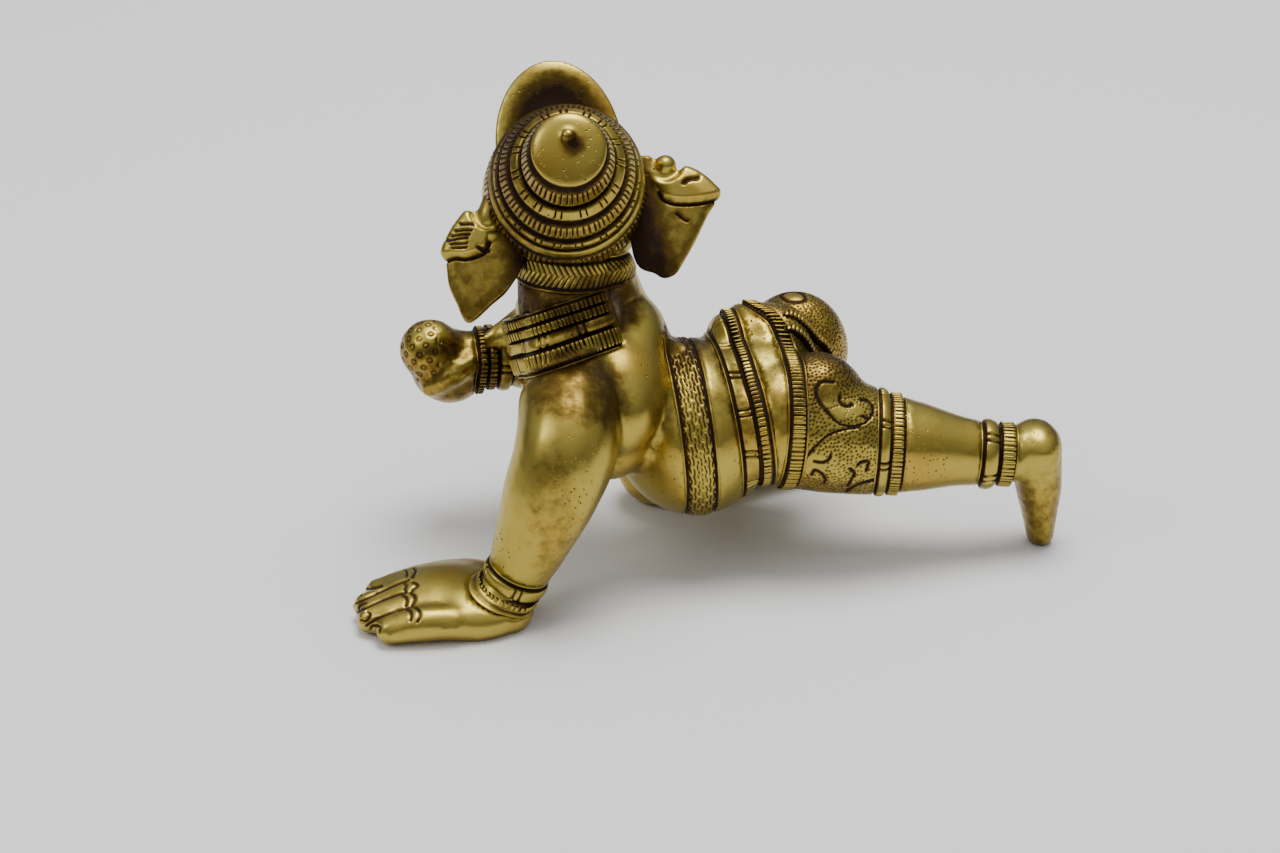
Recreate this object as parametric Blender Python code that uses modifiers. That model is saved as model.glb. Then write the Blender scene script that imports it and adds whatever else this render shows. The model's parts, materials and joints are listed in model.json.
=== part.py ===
"""A baby Ganesha statue: one solid brass casting that crawls on its left hand, right knee and left toes.

The casting is laid out in figure units, of which STATUE_UNITS make its length. At the real
length a unit is a millimetre. +X is the way the figure crawls, +Y its left side, +Z up.
"""

import math

import bmesh
import bpy
from mathutils import Euler, Matrix, Vector
from mathutils.bvhtree import BVHTree

STATUE_LENGTH = 0.147
STATUE_UNITS = 147.0
UNIT = STATUE_LENGTH / STATUE_UNITS

FLESH_VOXEL = 0.9
FLESH_SMOOTHING_ROUNDS = 5
CAST_VOXEL = 0.5
CAST_TRIANGLES = 9800

BRASS_COLOUR = (0.55, 0.38, 0.10, 1.0)
BRASS_ROUGHNESS = 0.3

# The trunk of the body, as centre and half sizes
TORSO = (((3.6, 2.0, 27.0), (16.8, 19.5, 18.0)), ((21.5, 2.5, 38.0), (14.0, 18.5, 14.0)),
         ((17.0, -3.0, 44.0), (9.4, 14.0, 11.2)), ((28.0, 1.5, 41.5), (11.5, 18.5, 8.5)),
         ((22.0, -11.0, 45.6), (8.4, 9.0, 9.6)), ((-11.0, 0.5, 30.5), (14.5, 17.5, 15.0)),
         ((-10.5, -7.0, 35.6), (11.5, 11.5, 13.6)), ((-20.5, 9.5, 32.0), (11.0, 10.3, 12.6)),
         ((-20.2, -11.5, 36.0), (11.4, 10.3, 13.0)), ((22.5, 11.5, 31.0), (9.0, 9.0, 9.2)),
         ((30.0, 11.5, 43.0), (9.5, 10.5, 9.5)), ((22.5, 14.0, 37.0), (10.0, 9.0, 9.5)),
         ((-14.0, -5.0, 40.0), (9.0, 9.0, 9.5)))

# The limbs, as joints with the radius of the flesh round each
LEFT_ARM = (((31.2, 18.0, 40.4), 10.2), ((32.8, 24.6, 35.0), 10.4), ((36.4, 27.0, 26.5), 9.6),
            ((40.4, 27.6, 16.5), 7.7), ((43.7, 27.6, 8.6), 6.1))
RIGHT_ARM = (((29.0, -15.5, 45.0), 9.4), ((26.5, -22.5, 36.0), 8.4), ((31.0, -23.0, 33.4), 7.4),
             ((39.0, -20.5, 35.0), 6.2), ((46.0, -20.0, 35.4), 5.8))
LEFT_LEG = (((-14.0, 9.0, 30.0), 13.5), ((-24.0, 11.5, 27.6), 12.4), ((-32.0, 12.0, 25.4), 11.1),
            ((-41.5, 12.6, 23.8), 9.3), ((-50.0, 13.0, 22.4), 7.3), ((-58.5, 13.0, 21.0), 6.1),
            ((-65.0, 13.0, 21.4), 5.6))
RIGHT_THIGH = (((-12.0, -10.0, 29.0), 12.5), ((-2.0, -15.0, 20.0), 11.0), ((6.5, -18.5, 10.5), 9.2))
RIGHT_SHIN = (((7.5, -18.8, 7.9), 8.6), ((-8.0, -23.0, 7.6), 8.0), ((-24.0, -25.5, 6.0), 6.4),
              ((-36.0, -26.5, 5.0), 5.4))
RIGHT_FOOT = (((-38.0, -26.5, 4.8), 5.2), ((-47.0, -25.5, 3.8), 4.4), ((-54.0, -24.5, 3.0), 3.4))
LEFT_FOOT = (((-66.3, 13.0, 22.5), 5.3), ((-67.3, 13.0, 13.0), 4.8), ((-68.0, 13.0, 5.0), 3.4),
             ((-68.2, 13.0, 2.3), 3.0))
FOOT_BREADTH = 1.35
NAPE = (((22.2, -2.0, 62.0), 6.8), ((19.6, -5.0, 53.0), 7.4), ((15.5, -5.0, 42.0), 8.0))
NECK = (((26.0, 3.0, 43.0), 11.6), ((28.6, 1.0, 54.0), 10.4), ((28.8, -4.0, 63.0), 9.8))

# The planted left hand, fingers forward
PALM = ((52.4, 27.4, 3.0), (12.2, 10.8, 5.8))
FINGER_WEB = ((62.0, 26.6, 2.8), (12.0, 10.4, 4.6))
HAND_HEEL = ((45.4, 27.6, 3.0), (5.4, 8.6, 5.2))
FINGER_ROOTS = (17.8, 23.6, 29.4, 35.0)
FINGER_TIPS = ((70.2, 18.8), (73.0, 24.2), (72.8, 29.6), (69.4, 34.6))
FINGER_ROOT_X, FINGER_ROOT_Z, FINGER_TIP_Z = 57.0, 3.9, 2.9
FINGER_RADIUS, FINGER_TIP_RADIUS = 3.6, 3.0
THUMB = (((48.5, 17.5, 4.0), 3.4), ((54.0, 13.2, 3.2), 3.0), ((59.6, 11.8, 2.6), 2.5))

# The raised right hand and the laddu in it
FIST = ((51.2, -20.2, 33.8), (8.2, 7.2, 8.0))
LADDU = ((55.2, -19.0, 38.4), 6.4)
GRIP = (((46.5, -14.5, 37.0), 2.2), ((51.5, -13.2, 34.6), 2.3), ((56.0, -14.6, 31.6), 2.0))

# The head: where it sits, how it is turned, and its own axes. Its +Y runs up the crown,
# its +Z to the top of the tiara and its +X to the figure's left ear
HEAD_PLACE = (27.6, -5.5, 79.6)
HEAD_TURN, HEAD_TILT, HEAD_ROLL = (math.radians(angle) for angle in (-7.6, 32.5, 14.0))
SKULL_SIZE = (15.0, 14.6, 15.0)
FACE_ANGLE = math.radians(45)

# The crown's tiers, as how far up its axis each one's lower edge lies, and its radius there. The
# crown leans aside and towards the tiara's top by two angles
CROWN_TIERS = ((22.0, 8.9), (19.0, 11.1), (13.5, 13.2), (9.6, 14.3), (6.6, 15.3), (0.5, 16.1),
               (-5.0, 16.6))
CROWN_BASE = -9.0
CROWN_LEAN = (math.radians(-2), math.radians(3.4))
TIER_GROOVE, TIER_EASE = 1.7, 0.6
BOSS_RADIUS, BOSS_PLACE, BOSS_HEIGHT = 7.2, 29.6, 3.6
NIPPLE_RADIUS, NIPPLE_HEIGHT = 1.5, 1.0
CROWN_SIDES = 48

# The tiara plate, an arch that leans a little on the crown
TIARA_HALF_WIDTH, TIARA_SPRING, TIARA_PEAK = 12.6, 6.0, 23.8
TIARA_SHIFT = 1.0
TIARA_THICKNESS, TIARA_RIM = 5.0, 3.6
TIARA_BACK, TIARA_LEAN = 2.5, math.radians(-6)
TIARA_CURVE_STEPS = 10

EAR_THICKNESS, EAR_RIM = 3.8, 2.2
PLATE_SHOULDER = 0.72
LEFT_EAR = ((12.0, -2.0), (19.2, -1.9), (22.8, -3.3), (25.9, -5.8), (27.7, -9.0), (28.1, -16.0),
            (27.7, -20.9), (25.8, -22.6), (23.9, -21.9), (16.3, -17.6), (12.0, -12.0))
RIGHT_EAR = ((-12.0, 0.0), (-17.0, -0.3), (-25.3, -5.6), (-27.6, -8.6), (-27.6, -10.7),
             (-24.3, -13.8), (-18.1, -21.8), (-15.4, -24.0), (-11.9, -22.0), (-8.5, -18.0))
EAR_KNOBS = ((16.4, -3.6, 3.5), (-18.7, -2.8, 2.9))

# The face: trunk, tusks, cheeks, brow and eyes, with +Y out of the face and +Z up its brow
TRUNK = (((0.0, 10.5, 1.0), 7.4), ((0.0, 17.5, -4.0), 6.0), ((0.0, 19.0, -12.0), 5.0),
         ((0.0, 15.5, -19.5), 4.3), ((-1.5, 11.5, -25.5), 3.8), ((-6.5, 10.0, -28.0), 3.3),
         ((-11.0, 11.5, -24.5), 2.8))
TUSKS = (((-5.4, 12.0, -6.0), (-8.4, 18.5, -9.0), 1.9), ((5.4, 12.0, -6.0), (7.2, 15.5, -8.0), 1.9))
CHEEKS = ((6.8, 8.5, -4.5), 5.4)
BROW_LOBES = ((5.2, 9.0, 7.0), 5.8)
EYES = ((6.4, 12.8, 1.4), (2.7, 1.5, 1.3))

# Bands that ride on the flesh. Each has a centre, the line it is threaded on, and ridges, as
# from, to and lift above the skin, measured along that line
BAND_SINK = 1.6
BAND_SLOPE = 0.25
GROOVE_LIFT = -0.3
BAND_REACH = 24.0
BELT = ((-6.6, 1.0, 29.0), (-0.993, -0.023, 0.118), ((-3.1, -0.3, 1.0), (0.3, 2.1, 1.1)))
HIP_BELT = ((-14.8, 2.0, 31.0), (-0.995, 0.03, -0.08), ((-1.4, 1.4, 1.2),))
# At the middle of the back the hip belt is drawn forward to a point, this far, round this turn
HIP_BELT_DRAWN = (-6.5, math.radians(145), math.radians(25))
SASH = ((4.8, 2.0, 27.0), (-0.997, 0.008, 0.08), ((-2.8, 2.6, 0.6),))
HEM = ((-34.8, 12.3, 24.8), (-0.985, 0.16, -0.05), ((-2.1, -0.1, 0.7), (0.4, 2.6, 0.9)))
ANKLET = ((-58.0, 13.0, 21.1), (-0.985, 0.15, -0.08), ((-3.4, -0.3, 1.2), (0.3, 3.0, 1.1)))
LEFT_BRACELET = ((43.0, 27.6, 9.2), (0.378, -0.115, -0.918), ((-0.8, 1.9, 1.1), (2.3, 3.6, 0.9)))
RIGHT_BRACELET = ((42.2, -20.2, 34.8), (1.0, 0.06, 0.06),
                  ((-3.4, -0.6, 1.3), (0.0, 1.5, 1.1), (2.1, 3.5, 1.0)))
LIMB_STEPS, TORSO_STEPS = 40, 80

# The collar, three bands laid up the neck from its lower edge, on flesh this far out at least
COLLAR = ((28.5, 2.2, 44.6), (0.25, -0.4, 0.88), ((0.0, 3.1, 1.6), (3.6, 6.3, 1.3), (6.8, 8.6, 1.2)))
COLLAR_LEAST, COLLAR_REACH = 11.0, 13.6

# The pleat that runs back between the buttocks, as two ridges
PLEAT_HUB, PLEAT_TURNS = (-13.5, 0.0, 32.0), (math.radians(95), math.radians(158))
PLEAT_SPACING, PLEAT_RADIUS, PLEAT_POINTS = 3.4, 1.3, 6


def clear_scene():
    for thing in list(bpy.data.objects):
        bpy.data.objects.remove(thing, do_unlink=True)


def head_frame():
    """The placing of the head's own axes in the figure."""
    turned = Euler((HEAD_TILT, 0, HEAD_TURN), "XYZ").to_matrix().to_4x4()
    return Matrix.Translation(HEAD_PLACE) @ turned @ Matrix.Rotation(HEAD_ROLL, 4, "Y")


def face_frame():
    """The face's own axes: it looks along +Y, with +Z up its brow."""
    turned = Matrix.Rotation(-FACE_ANGLE, 4, "X") @ Matrix.Rotation(math.pi, 4, "Z")
    return head_frame() @ turned


class Clay:
    """Closed shapes gathered in one mesh, to be melted into one skin."""

    def __init__(self):
        self.mesh = bmesh.new()

    def egg(self, centre, size, frame=Matrix()):
        size = (size,) * 3 if isinstance(size, float) else size
        place = frame @ Matrix.Translation(centre) @ Matrix.Diagonal((*size, 1.0))
        bmesh.ops.create_icosphere(self.mesh, subdivisions=4, radius=1.0, matrix=place)

    def limb(self, joints, frame=Matrix(), breadth=1.0):
        """A round limb through the joints, swelling from each radius to the next."""
        curve = bpy.data.curves.new("limb", "CURVE")
        curve.dimensions, curve.bevel_depth, curve.use_fill_caps = "3D", 1.0, True
        curve.bevel_resolution = 6
        spline = curve.splines.new("BEZIER")
        spline.bezier_points.add(len(joints) - 1)
        for point, (place, radius) in zip(spline.bezier_points, joints):
            point.co, point.radius = place, radius
            point.handle_left_type = point.handle_right_type = "AUTO"
        self.take(curve, Matrix.Identity(4), joints[0][0], breadth, frame)
        for place, radius in (joints[0], joints[-1]):
            self.egg(place, (radius, radius * breadth, radius), frame)

    def take(self, curve, place, centre, breadth, frame):
        """Adds a curve's mesh, broadened across Y about its first joint."""
        holder = bpy.data.objects.new(curve.name, curve)
        bpy.context.scene.collection.objects.link(holder)
        bpy.context.view_layer.update()
        graph = bpy.context.evaluated_depsgraph_get()
        made = bpy.data.meshes.new_from_object(holder.evaluated_get(graph))
        about = Matrix.Translation(centre) @ Matrix.Diagonal((1, breadth, 1, 1)) @ Matrix.Translation(
            -Vector(centre))
        made.transform(frame @ about @ place)
        self.add(made)
        bpy.data.objects.remove(holder)
        bpy.data.curves.remove(curve)

    def add(self, mesh):
        """Takes in a mesh and welds its loose caps."""
        start = len(self.mesh.verts)
        self.mesh.from_mesh(mesh)
        self.mesh.verts.ensure_lookup_table()
        bmesh.ops.remove_doubles(self.mesh, verts=self.mesh.verts[start:], dist=1e-4)
        bpy.data.meshes.remove(mesh)

    def grid(self, rows):
        """A closed skin over rows of points, joined round both ways."""
        made = [[self.mesh.verts.new(point) for point in row] for row in rows]
        for row, after in zip(made, made[1:] + made[:1]):
            for i in range(len(row)):
                j = (i + 1) % len(row)
                self.mesh.faces.new((row[i], row[j], after[j], after[i]))

    def capped(self, rows):
        """A closed skin over rows of points that end in two flat caps."""
        made = [[self.mesh.verts.new(point) for point in row] for row in rows]
        for row, after in zip(made, made[1:]):
            for i in range(len(row)):
                j = (i + 1) % len(row)
                self.mesh.faces.new((row[i], row[j], after[j], after[i]))
        self.mesh.faces.new(made[0][::-1])
        self.mesh.faces.new(made[-1])

    def plate(self, outline, rim, thickness, frame):
        """An outline in X and Z with a thin rim, and as thick as said over its middle, along Y."""
        middle = sum((Vector(point) for point in outline), Vector((0, 0))) / len(outline)
        rings = []
        for share, deep in ((1.0, rim), (PLATE_SHOULDER, thickness)):
            inset = [middle + (Vector(point) - middle) * share for point in outline]
            for side in (-0.5, 0.5):
                rings.append([self.mesh.verts.new(frame @ Vector((x, side * deep, z)))
                              for x, z in inset])
        self.mesh.faces.new(rings[2])
        self.mesh.faces.new(rings[3][::-1])
        for i in range(len(outline)):
            j = (i + 1) % len(outline)
            for outer, inner in ((rings[0], rings[2]), (rings[1], rings[0]), (rings[3], rings[1])):
                self.mesh.faces.new((inner[j], inner[i], outer[i], outer[j]))

    def melted(self, name, voxel, smoothing=0):
        """The gathered shapes as one closed skin."""
        bmesh.ops.recalc_face_normals(self.mesh, faces=self.mesh.faces)
        mesh = bpy.data.meshes.new(name)
        self.mesh.to_mesh(mesh)
        self.mesh.free()
        lump = bpy.data.objects.new(name, mesh)
        bpy.context.scene.collection.objects.link(lump)
        melt = lump.modifiers.new("melt", "REMESH")
        melt.mode, melt.voxel_size = "VOXEL", voxel
        if smoothing:
            soften = lump.modifiers.new("soften", "SMOOTH")
            soften.iterations = smoothing
        return applied(lump)


def applied(lump):
    """The object with its modifiers turned into its mesh."""
    bpy.context.view_layer.update()
    graph = bpy.context.evaluated_depsgraph_get()
    mesh = bpy.data.meshes.new_from_object(lump.evaluated_get(graph))
    lump.modifiers.clear()
    lump.data = mesh
    return lump


def add_body(clay):
    for centre, size in TORSO:
        clay.egg(centre, size)
    for joints in (LEFT_ARM, RIGHT_ARM, LEFT_LEG, RIGHT_THIGH, RIGHT_SHIN, NAPE, NECK):
        clay.limb(joints)
    for joints in (LEFT_FOOT, RIGHT_FOOT):
        clay.limb(joints, breadth=FOOT_BREADTH)


def add_left_hand(clay):
    for centre, size in (PALM, FINGER_WEB, HAND_HEEL):
        clay.egg(centre, size)
    for root, (tip_x, tip_y) in zip(FINGER_ROOTS, FINGER_TIPS):
        middle = ((FINGER_ROOT_X + tip_x) / 2, (root + tip_y) / 2, FINGER_ROOT_Z)
        clay.limb((((FINGER_ROOT_X, root, FINGER_ROOT_Z), FINGER_RADIUS), (middle, FINGER_RADIUS),
                   ((tip_x, tip_y, FINGER_TIP_Z), FINGER_TIP_RADIUS)))
    clay.limb(THUMB)


def add_right_hand(clay):
    clay.egg(*FIST)
    centre, radius = LADDU
    clay.egg(centre, radius)
    clay.limb(GRIP)


def add_head(clay):
    head, face = head_frame(), face_frame()
    clay.egg((0, 0, 0), SKULL_SIZE, head)
    clay.limb(TRUNK, face)
    for centre, radius in (CHEEKS, BROW_LOBES):
        for side in (-1, 1):
            clay.egg((side * centre[0], *centre[1:]), radius, face)


def build_flesh():
    clay = Clay()
    add_body(clay)
    add_left_hand(clay)
    add_right_hand(clay)
    add_head(clay)
    return clay.melted("flesh", FLESH_VOXEL, FLESH_SMOOTHING_ROUNDS)


def crown_profile():
    """Points of place up the axis and radius, from the nipple down to the crown's base."""
    tip = BOSS_PLACE + BOSS_HEIGHT
    profile = [(tip, 0.3), (tip - 0.2, NIPPLE_RADIUS / 2), (tip - NIPPLE_HEIGHT, NIPPLE_RADIUS),
               (BOSS_PLACE + TIER_EASE, BOSS_RADIUS), (BOSS_PLACE - TIER_EASE, BOSS_RADIUS)]
    for place, radius in CROWN_TIERS:
        groove = profile[-1][1] - TIER_GROOVE
        above = profile[-1][0]
        profile.append((above - TIER_EASE, groove))
        profile.append((above - 2 * TIER_EASE, (groove + radius) / 2))
        profile.append((place + TIER_EASE, radius))
        profile.append((place, radius - TIER_EASE / 2))
    profile.append((CROWN_BASE, profile[-1][1] - 4 * TIER_GROOVE))
    return profile


def add_crown(clay):
    frame = head_frame()
    turns = [2 * math.pi * i / CROWN_SIDES for i in range(CROWN_SIDES)]
    rows = []
    for place, radius in crown_profile():
        x, z = ((place - BOSS_PLACE) * math.tan(lean) for lean in CROWN_LEAN)
        rows.append([frame @ Vector((x + radius * math.cos(turn), place, z + radius * math.sin(turn)))
                     for turn in turns])
    clay.capped(rows)


def tiara_outline():
    """A round-shouldered arch that comes to a soft point."""
    right = []
    for i in range(TIARA_CURVE_STEPS + 1):
        turn = math.pi / 2 * i / TIARA_CURVE_STEPS
        right.append((TIARA_HALF_WIDTH * math.cos(turn),
                      TIARA_SPRING + (TIARA_PEAK - TIARA_SPRING) * math.sin(turn)))
    left = [(-x, z) for x, z in right[-2::-1]]
    return [(TIARA_HALF_WIDTH - 2, -6.0)] + right + left + [(2 - TIARA_HALF_WIDTH, -6.0)]


def add_tiara(clay):
    leaning = Matrix.Translation((TIARA_SHIFT, TIARA_BACK, 0)) @ Matrix.Rotation(TIARA_LEAN, 4, "Y")
    clay.plate(tiara_outline(), TIARA_RIM, TIARA_THICKNESS, head_frame() @ leaning)


def add_ears(clay):
    frame = head_frame()
    for outline in (LEFT_EAR, RIGHT_EAR):
        clay.plate(outline, EAR_RIM, EAR_THICKNESS, frame)
    for x, z, radius in EAR_KNOBS:
        clay.egg((x, 0, z), radius, frame)


def add_tusks_and_eyes(clay):
    face = face_frame()
    for root, tip, radius in TUSKS:
        clay.limb(((root, radius), (tip, radius * 0.6)), face)
    centre, size = EYES
    for side in (-1, 1):
        clay.egg((side * centre[0], *centre[1:]), size, face)


def band_rows(ridges):
    """The ridges' cross-section as rows of place along the thread and lift above the skin."""
    rows = [(ridges[0][0] - BAND_SLOPE, -BAND_SINK)]
    for begin, end, lift in ridges:
        if len(rows) > 1:
            rows.append((begin - BAND_SLOPE / 2, GROOVE_LIFT))
        rows += [(begin, lift * 0.8), (begin + BAND_SLOPE, lift), (end - BAND_SLOPE, lift),
                 (end, lift * 0.8), (end + BAND_SLOPE / 2, GROOVE_LIFT)]
    rows[-1] = (ridges[-1][1] + BAND_SLOPE, -BAND_SINK)
    return rows


def across(axis):
    """Two directions square to an axis and to each other."""
    first = axis.cross(Vector((0, 1, 0))).normalized()
    return first, axis.cross(first)


def drawn_along(turn, drawn):
    """How far a band is drawn along its thread at a turn round it."""
    amount, middle, width = drawn
    return amount * math.exp(-((turn - middle) / width) ** 2)


def add_band(clay, skin, band, steps, reach=BAND_REACH, least=0.0, drawn=(0.0, 0.0, 1.0)):
    """A band laid round the flesh, at least so far out, and buried where the flesh is past its reach."""
    centre, axis, ridges = Vector(band[0]), Vector(band[1]).normalized(), band[2]
    first, second = across(axis)
    rows = []
    for place, lift in band_rows(ridges):
        row = []
        for i in range(steps):
            turn = 2 * math.pi * i / steps
            start = centre + axis * (place + drawn_along(turn, drawn))
            ray = first * math.cos(turn) + second * math.sin(turn)
            out = skin.ray_cast(start, ray, reach)[3] or reach - BAND_SINK
            row.append(start + ray * (max(out, least) + lift))
        rows.append(row)
    clay.grid(rows)


def add_pleat(clay, skin):
    """Two ridges that run back over the seat, on the line between the buttocks."""
    begin, end = PLEAT_TURNS
    for side in (-0.5, 0.5):
        joints = []
        for i in range(PLEAT_POINTS):
            turn = begin + (end - begin) * i / (PLEAT_POINTS - 1)
            start = Vector(PLEAT_HUB) + Vector((0, side * PLEAT_SPACING, 0))
            met = skin.ray_cast(start, Vector((math.cos(turn), 0, math.sin(turn))))[0]
            joints.append((tuple(met), PLEAT_RADIUS))
        clay.limb(joints)


def build_casting():
    flesh = build_flesh()
    skin = BVHTree.FromObject(flesh, bpy.context.evaluated_depsgraph_get())
    clay = Clay()
    clay.add(flesh.data.copy())
    for band in (BELT, SASH):
        add_band(clay, skin, band, TORSO_STEPS)
    add_band(clay, skin, HIP_BELT, TORSO_STEPS, drawn=HIP_BELT_DRAWN)
    for band in (HEM, ANKLET, LEFT_BRACELET, RIGHT_BRACELET):
        add_band(clay, skin, band, LIMB_STEPS)
    add_band(clay, skin, COLLAR, TORSO_STEPS, COLLAR_REACH, COLLAR_LEAST)
    add_pleat(clay, skin)
    add_crown(clay)
    add_tiara(clay)
    add_ears(clay)
    add_tusks_and_eyes(clay)
    bpy.data.objects.remove(flesh)
    return clay.melted("baby_ganesha", CAST_VOXEL)


def cut_floor(casting):
    """Planes the casting flat where it stands: under the hand, the knee and shin, and the toes."""
    mesh = bmesh.new()
    mesh.from_mesh(casting.data)
    cut = bmesh.ops.bisect_plane(mesh, geom=mesh.verts[:] + mesh.edges[:] + mesh.faces[:],
                                 plane_co=(0, 0, 0), plane_no=(0, 0, -1), clear_outer=True)
    edges = [thing for thing in cut["geom_cut"] if isinstance(thing, bmesh.types.BMEdge)]
    bmesh.ops.holes_fill(mesh, edges=edges, sides=0)
    bmesh.ops.triangulate(mesh, faces=mesh.faces)
    mesh.to_mesh(casting.data)
    mesh.free()


def lighten(casting):
    """Brings the casting down to its triangle count."""
    fewer = casting.modifiers.new("fewer", "DECIMATE")
    fewer.ratio = CAST_TRIANGLES / sum(len(face.vertices) - 2 for face in casting.data.polygons)
    fewer.use_collapse_triangulate = True
    return applied(casting)


def stand(casting):
    """Moves the base centre to the origin and turns figure units into metres."""
    corners = [vertex.co for vertex in casting.data.vertices]
    low = [min(c[axis] for c in corners) for axis in range(3)]
    high = [max(c[axis] for c in corners) for axis in range(3)]
    base = Vector(((low[0] + high[0]) / 2, (low[1] + high[1]) / 2, low[2]))
    casting.data.transform(Matrix.Scale(UNIT, 4) @ Matrix.Translation(-base))


def brass():
    made = bpy.data.materials.new("brass")
    made.use_nodes = True
    shader = made.node_tree.nodes["Principled BSDF"]
    shader.inputs["Base Color"].default_value = BRASS_COLOUR
    shader.inputs["Metallic"].default_value = 1.0
    shader.inputs["Roughness"].default_value = BRASS_ROUGHNESS
    return made


def main():
    clear_scene()
    casting = build_casting()
    lighten(casting)
    cut_floor(casting)
    stand(casting)
    casting.data.materials.clear()
    casting.data.materials.append(brass())
    shelf = bpy.data.collections.new("baby_ganesha_statue")
    bpy.context.scene.collection.children.link(shelf)
    bpy.context.scene.collection.objects.unlink(casting)
    shelf.objects.link(casting)


main()
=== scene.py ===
"""A baby Ganesha statue of solid cast brass, crawling on its left hand, right knee and left toes."""

import json
import math

import bmesh
import bpy
import numpy as np
from mathutils import Euler, Matrix, Vector
from mathutils.bvhtree import BVHTree
from mathutils.kdtree import KDTree

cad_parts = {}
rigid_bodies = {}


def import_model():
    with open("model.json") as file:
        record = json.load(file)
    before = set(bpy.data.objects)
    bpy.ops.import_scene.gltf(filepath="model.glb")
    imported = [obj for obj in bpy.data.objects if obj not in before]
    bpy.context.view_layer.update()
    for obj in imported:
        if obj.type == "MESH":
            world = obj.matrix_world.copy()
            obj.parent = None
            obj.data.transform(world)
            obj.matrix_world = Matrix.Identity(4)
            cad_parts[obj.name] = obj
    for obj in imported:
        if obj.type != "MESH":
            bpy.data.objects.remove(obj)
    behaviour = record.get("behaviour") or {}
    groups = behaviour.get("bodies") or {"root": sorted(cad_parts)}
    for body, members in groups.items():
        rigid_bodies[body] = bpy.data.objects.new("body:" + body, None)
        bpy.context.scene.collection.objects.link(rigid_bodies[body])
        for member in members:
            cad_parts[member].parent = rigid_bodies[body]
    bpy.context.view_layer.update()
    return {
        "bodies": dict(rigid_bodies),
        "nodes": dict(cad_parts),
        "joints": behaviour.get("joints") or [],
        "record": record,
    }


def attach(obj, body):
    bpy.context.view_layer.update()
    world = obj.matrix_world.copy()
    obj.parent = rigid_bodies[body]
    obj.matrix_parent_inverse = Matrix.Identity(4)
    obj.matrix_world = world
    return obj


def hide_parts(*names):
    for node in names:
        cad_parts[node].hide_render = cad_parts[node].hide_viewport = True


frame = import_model()

# The casting's skin

# The body, limbs and head of the statue: one lost-wax casting in yellow brass, filed and then
# polished by hand. The folds, the line of the fingers and the cloth's leaves are cut with a
# graver, and years of handling have left brown tarnish in everything that a cloth can't reach,
# with shade painted in brown over the hollows as well.

MM = 0.001
BASE = (1.882, 2.535, 0.0)
SKIN_VOXEL, SKIN_SMOOTHING = 1.04, 4

TORSO = (((3.6, 2.0, 27.0), (16.8, 19.5, 18.0)), ((21.5, 2.5, 38.0), (14.0, 18.5, 14.0)),
         ((17.0, -3.0, 44.0), (9.4, 14.0, 11.2)), ((28.0, 1.5, 41.5), (11.5, 18.5, 8.5)),
         ((22.0, -11.0, 45.6), (8.4, 9.0, 9.6)), ((-11.0, 0.5, 30.5), (14.5, 17.5, 15.0)),
         ((-10.5, -7.0, 35.6), (11.5, 11.5, 13.6)), ((-20.5, 9.5, 32.0), (11.0, 10.3, 12.6)),
         ((-20.2, -11.5, 36.0), (11.4, 10.3, 13.0)), ((22.5, 11.5, 31.0), (9.0, 9.0, 9.2)),
         ((30.0, 11.5, 43.0), (9.5, 10.5, 9.5)), ((22.5, 14.0, 37.0), (10.0, 9.0, 9.5)),
         ((-14.0, -5.0, 40.0), (9.0, 9.0, 9.5)))
LEFT_ARM = (((31.2, 18.0, 40.4), 10.2), ((32.8, 24.6, 35.0), 10.4), ((36.4, 27.0, 26.5), 9.6),
            ((40.4, 27.6, 16.5), 7.7), ((43.7, 27.6, 8.6), 6.1))
RIGHT_ARM = (((29.0, -15.5, 45.0), 9.4), ((26.5, -22.5, 36.0), 8.4), ((31.0, -23.0, 33.4), 7.4),
             ((39.0, -20.5, 35.0), 6.2), ((46.0, -20.0, 35.4), 5.8))
LEFT_LEG = (((-14.0, 9.0, 30.0), 13.5), ((-24.0, 11.5, 27.6), 12.4), ((-32.0, 12.0, 25.4), 11.1),
            ((-41.5, 12.6, 23.8), 9.3), ((-50.0, 13.0, 22.4), 7.3), ((-58.5, 13.0, 21.0), 6.1),
            ((-65.0, 13.0, 21.4), 5.6))
RIGHT_THIGH = (((-12.0, -10.0, 29.0), 12.5), ((-2.0, -15.0, 20.0), 11.0), ((6.5, -18.5, 10.5), 9.2))
RIGHT_SHIN = (((7.5, -18.8, 7.9), 8.6), ((-8.0, -23.0, 7.6), 8.0), ((-24.0, -25.5, 6.0), 6.4),
              ((-36.0, -26.5, 5.0), 5.4))
RIGHT_FOOT = (((-38.0, -26.5, 4.8), 5.2), ((-47.0, -25.5, 3.8), 4.4), ((-54.0, -24.5, 3.0), 3.4))
LEFT_FOOT = (((-66.3, 13.0, 22.5), 5.3), ((-67.3, 13.0, 13.0), 4.8), ((-68.0, 13.0, 5.0), 3.4),
             ((-68.2, 13.0, 2.3), 3.0))
FOOT_BREADTH = 1.35
NAPE = (((22.2, -2.0, 62.0), 6.8), ((19.6, -5.0, 53.0), 7.4), ((15.5, -5.0, 42.0), 8.0))
NECK = (((26.0, 3.0, 43.0), 11.6), ((28.6, 1.0, 54.0), 10.4), ((28.8, -4.0, 63.0), 9.8))

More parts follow.
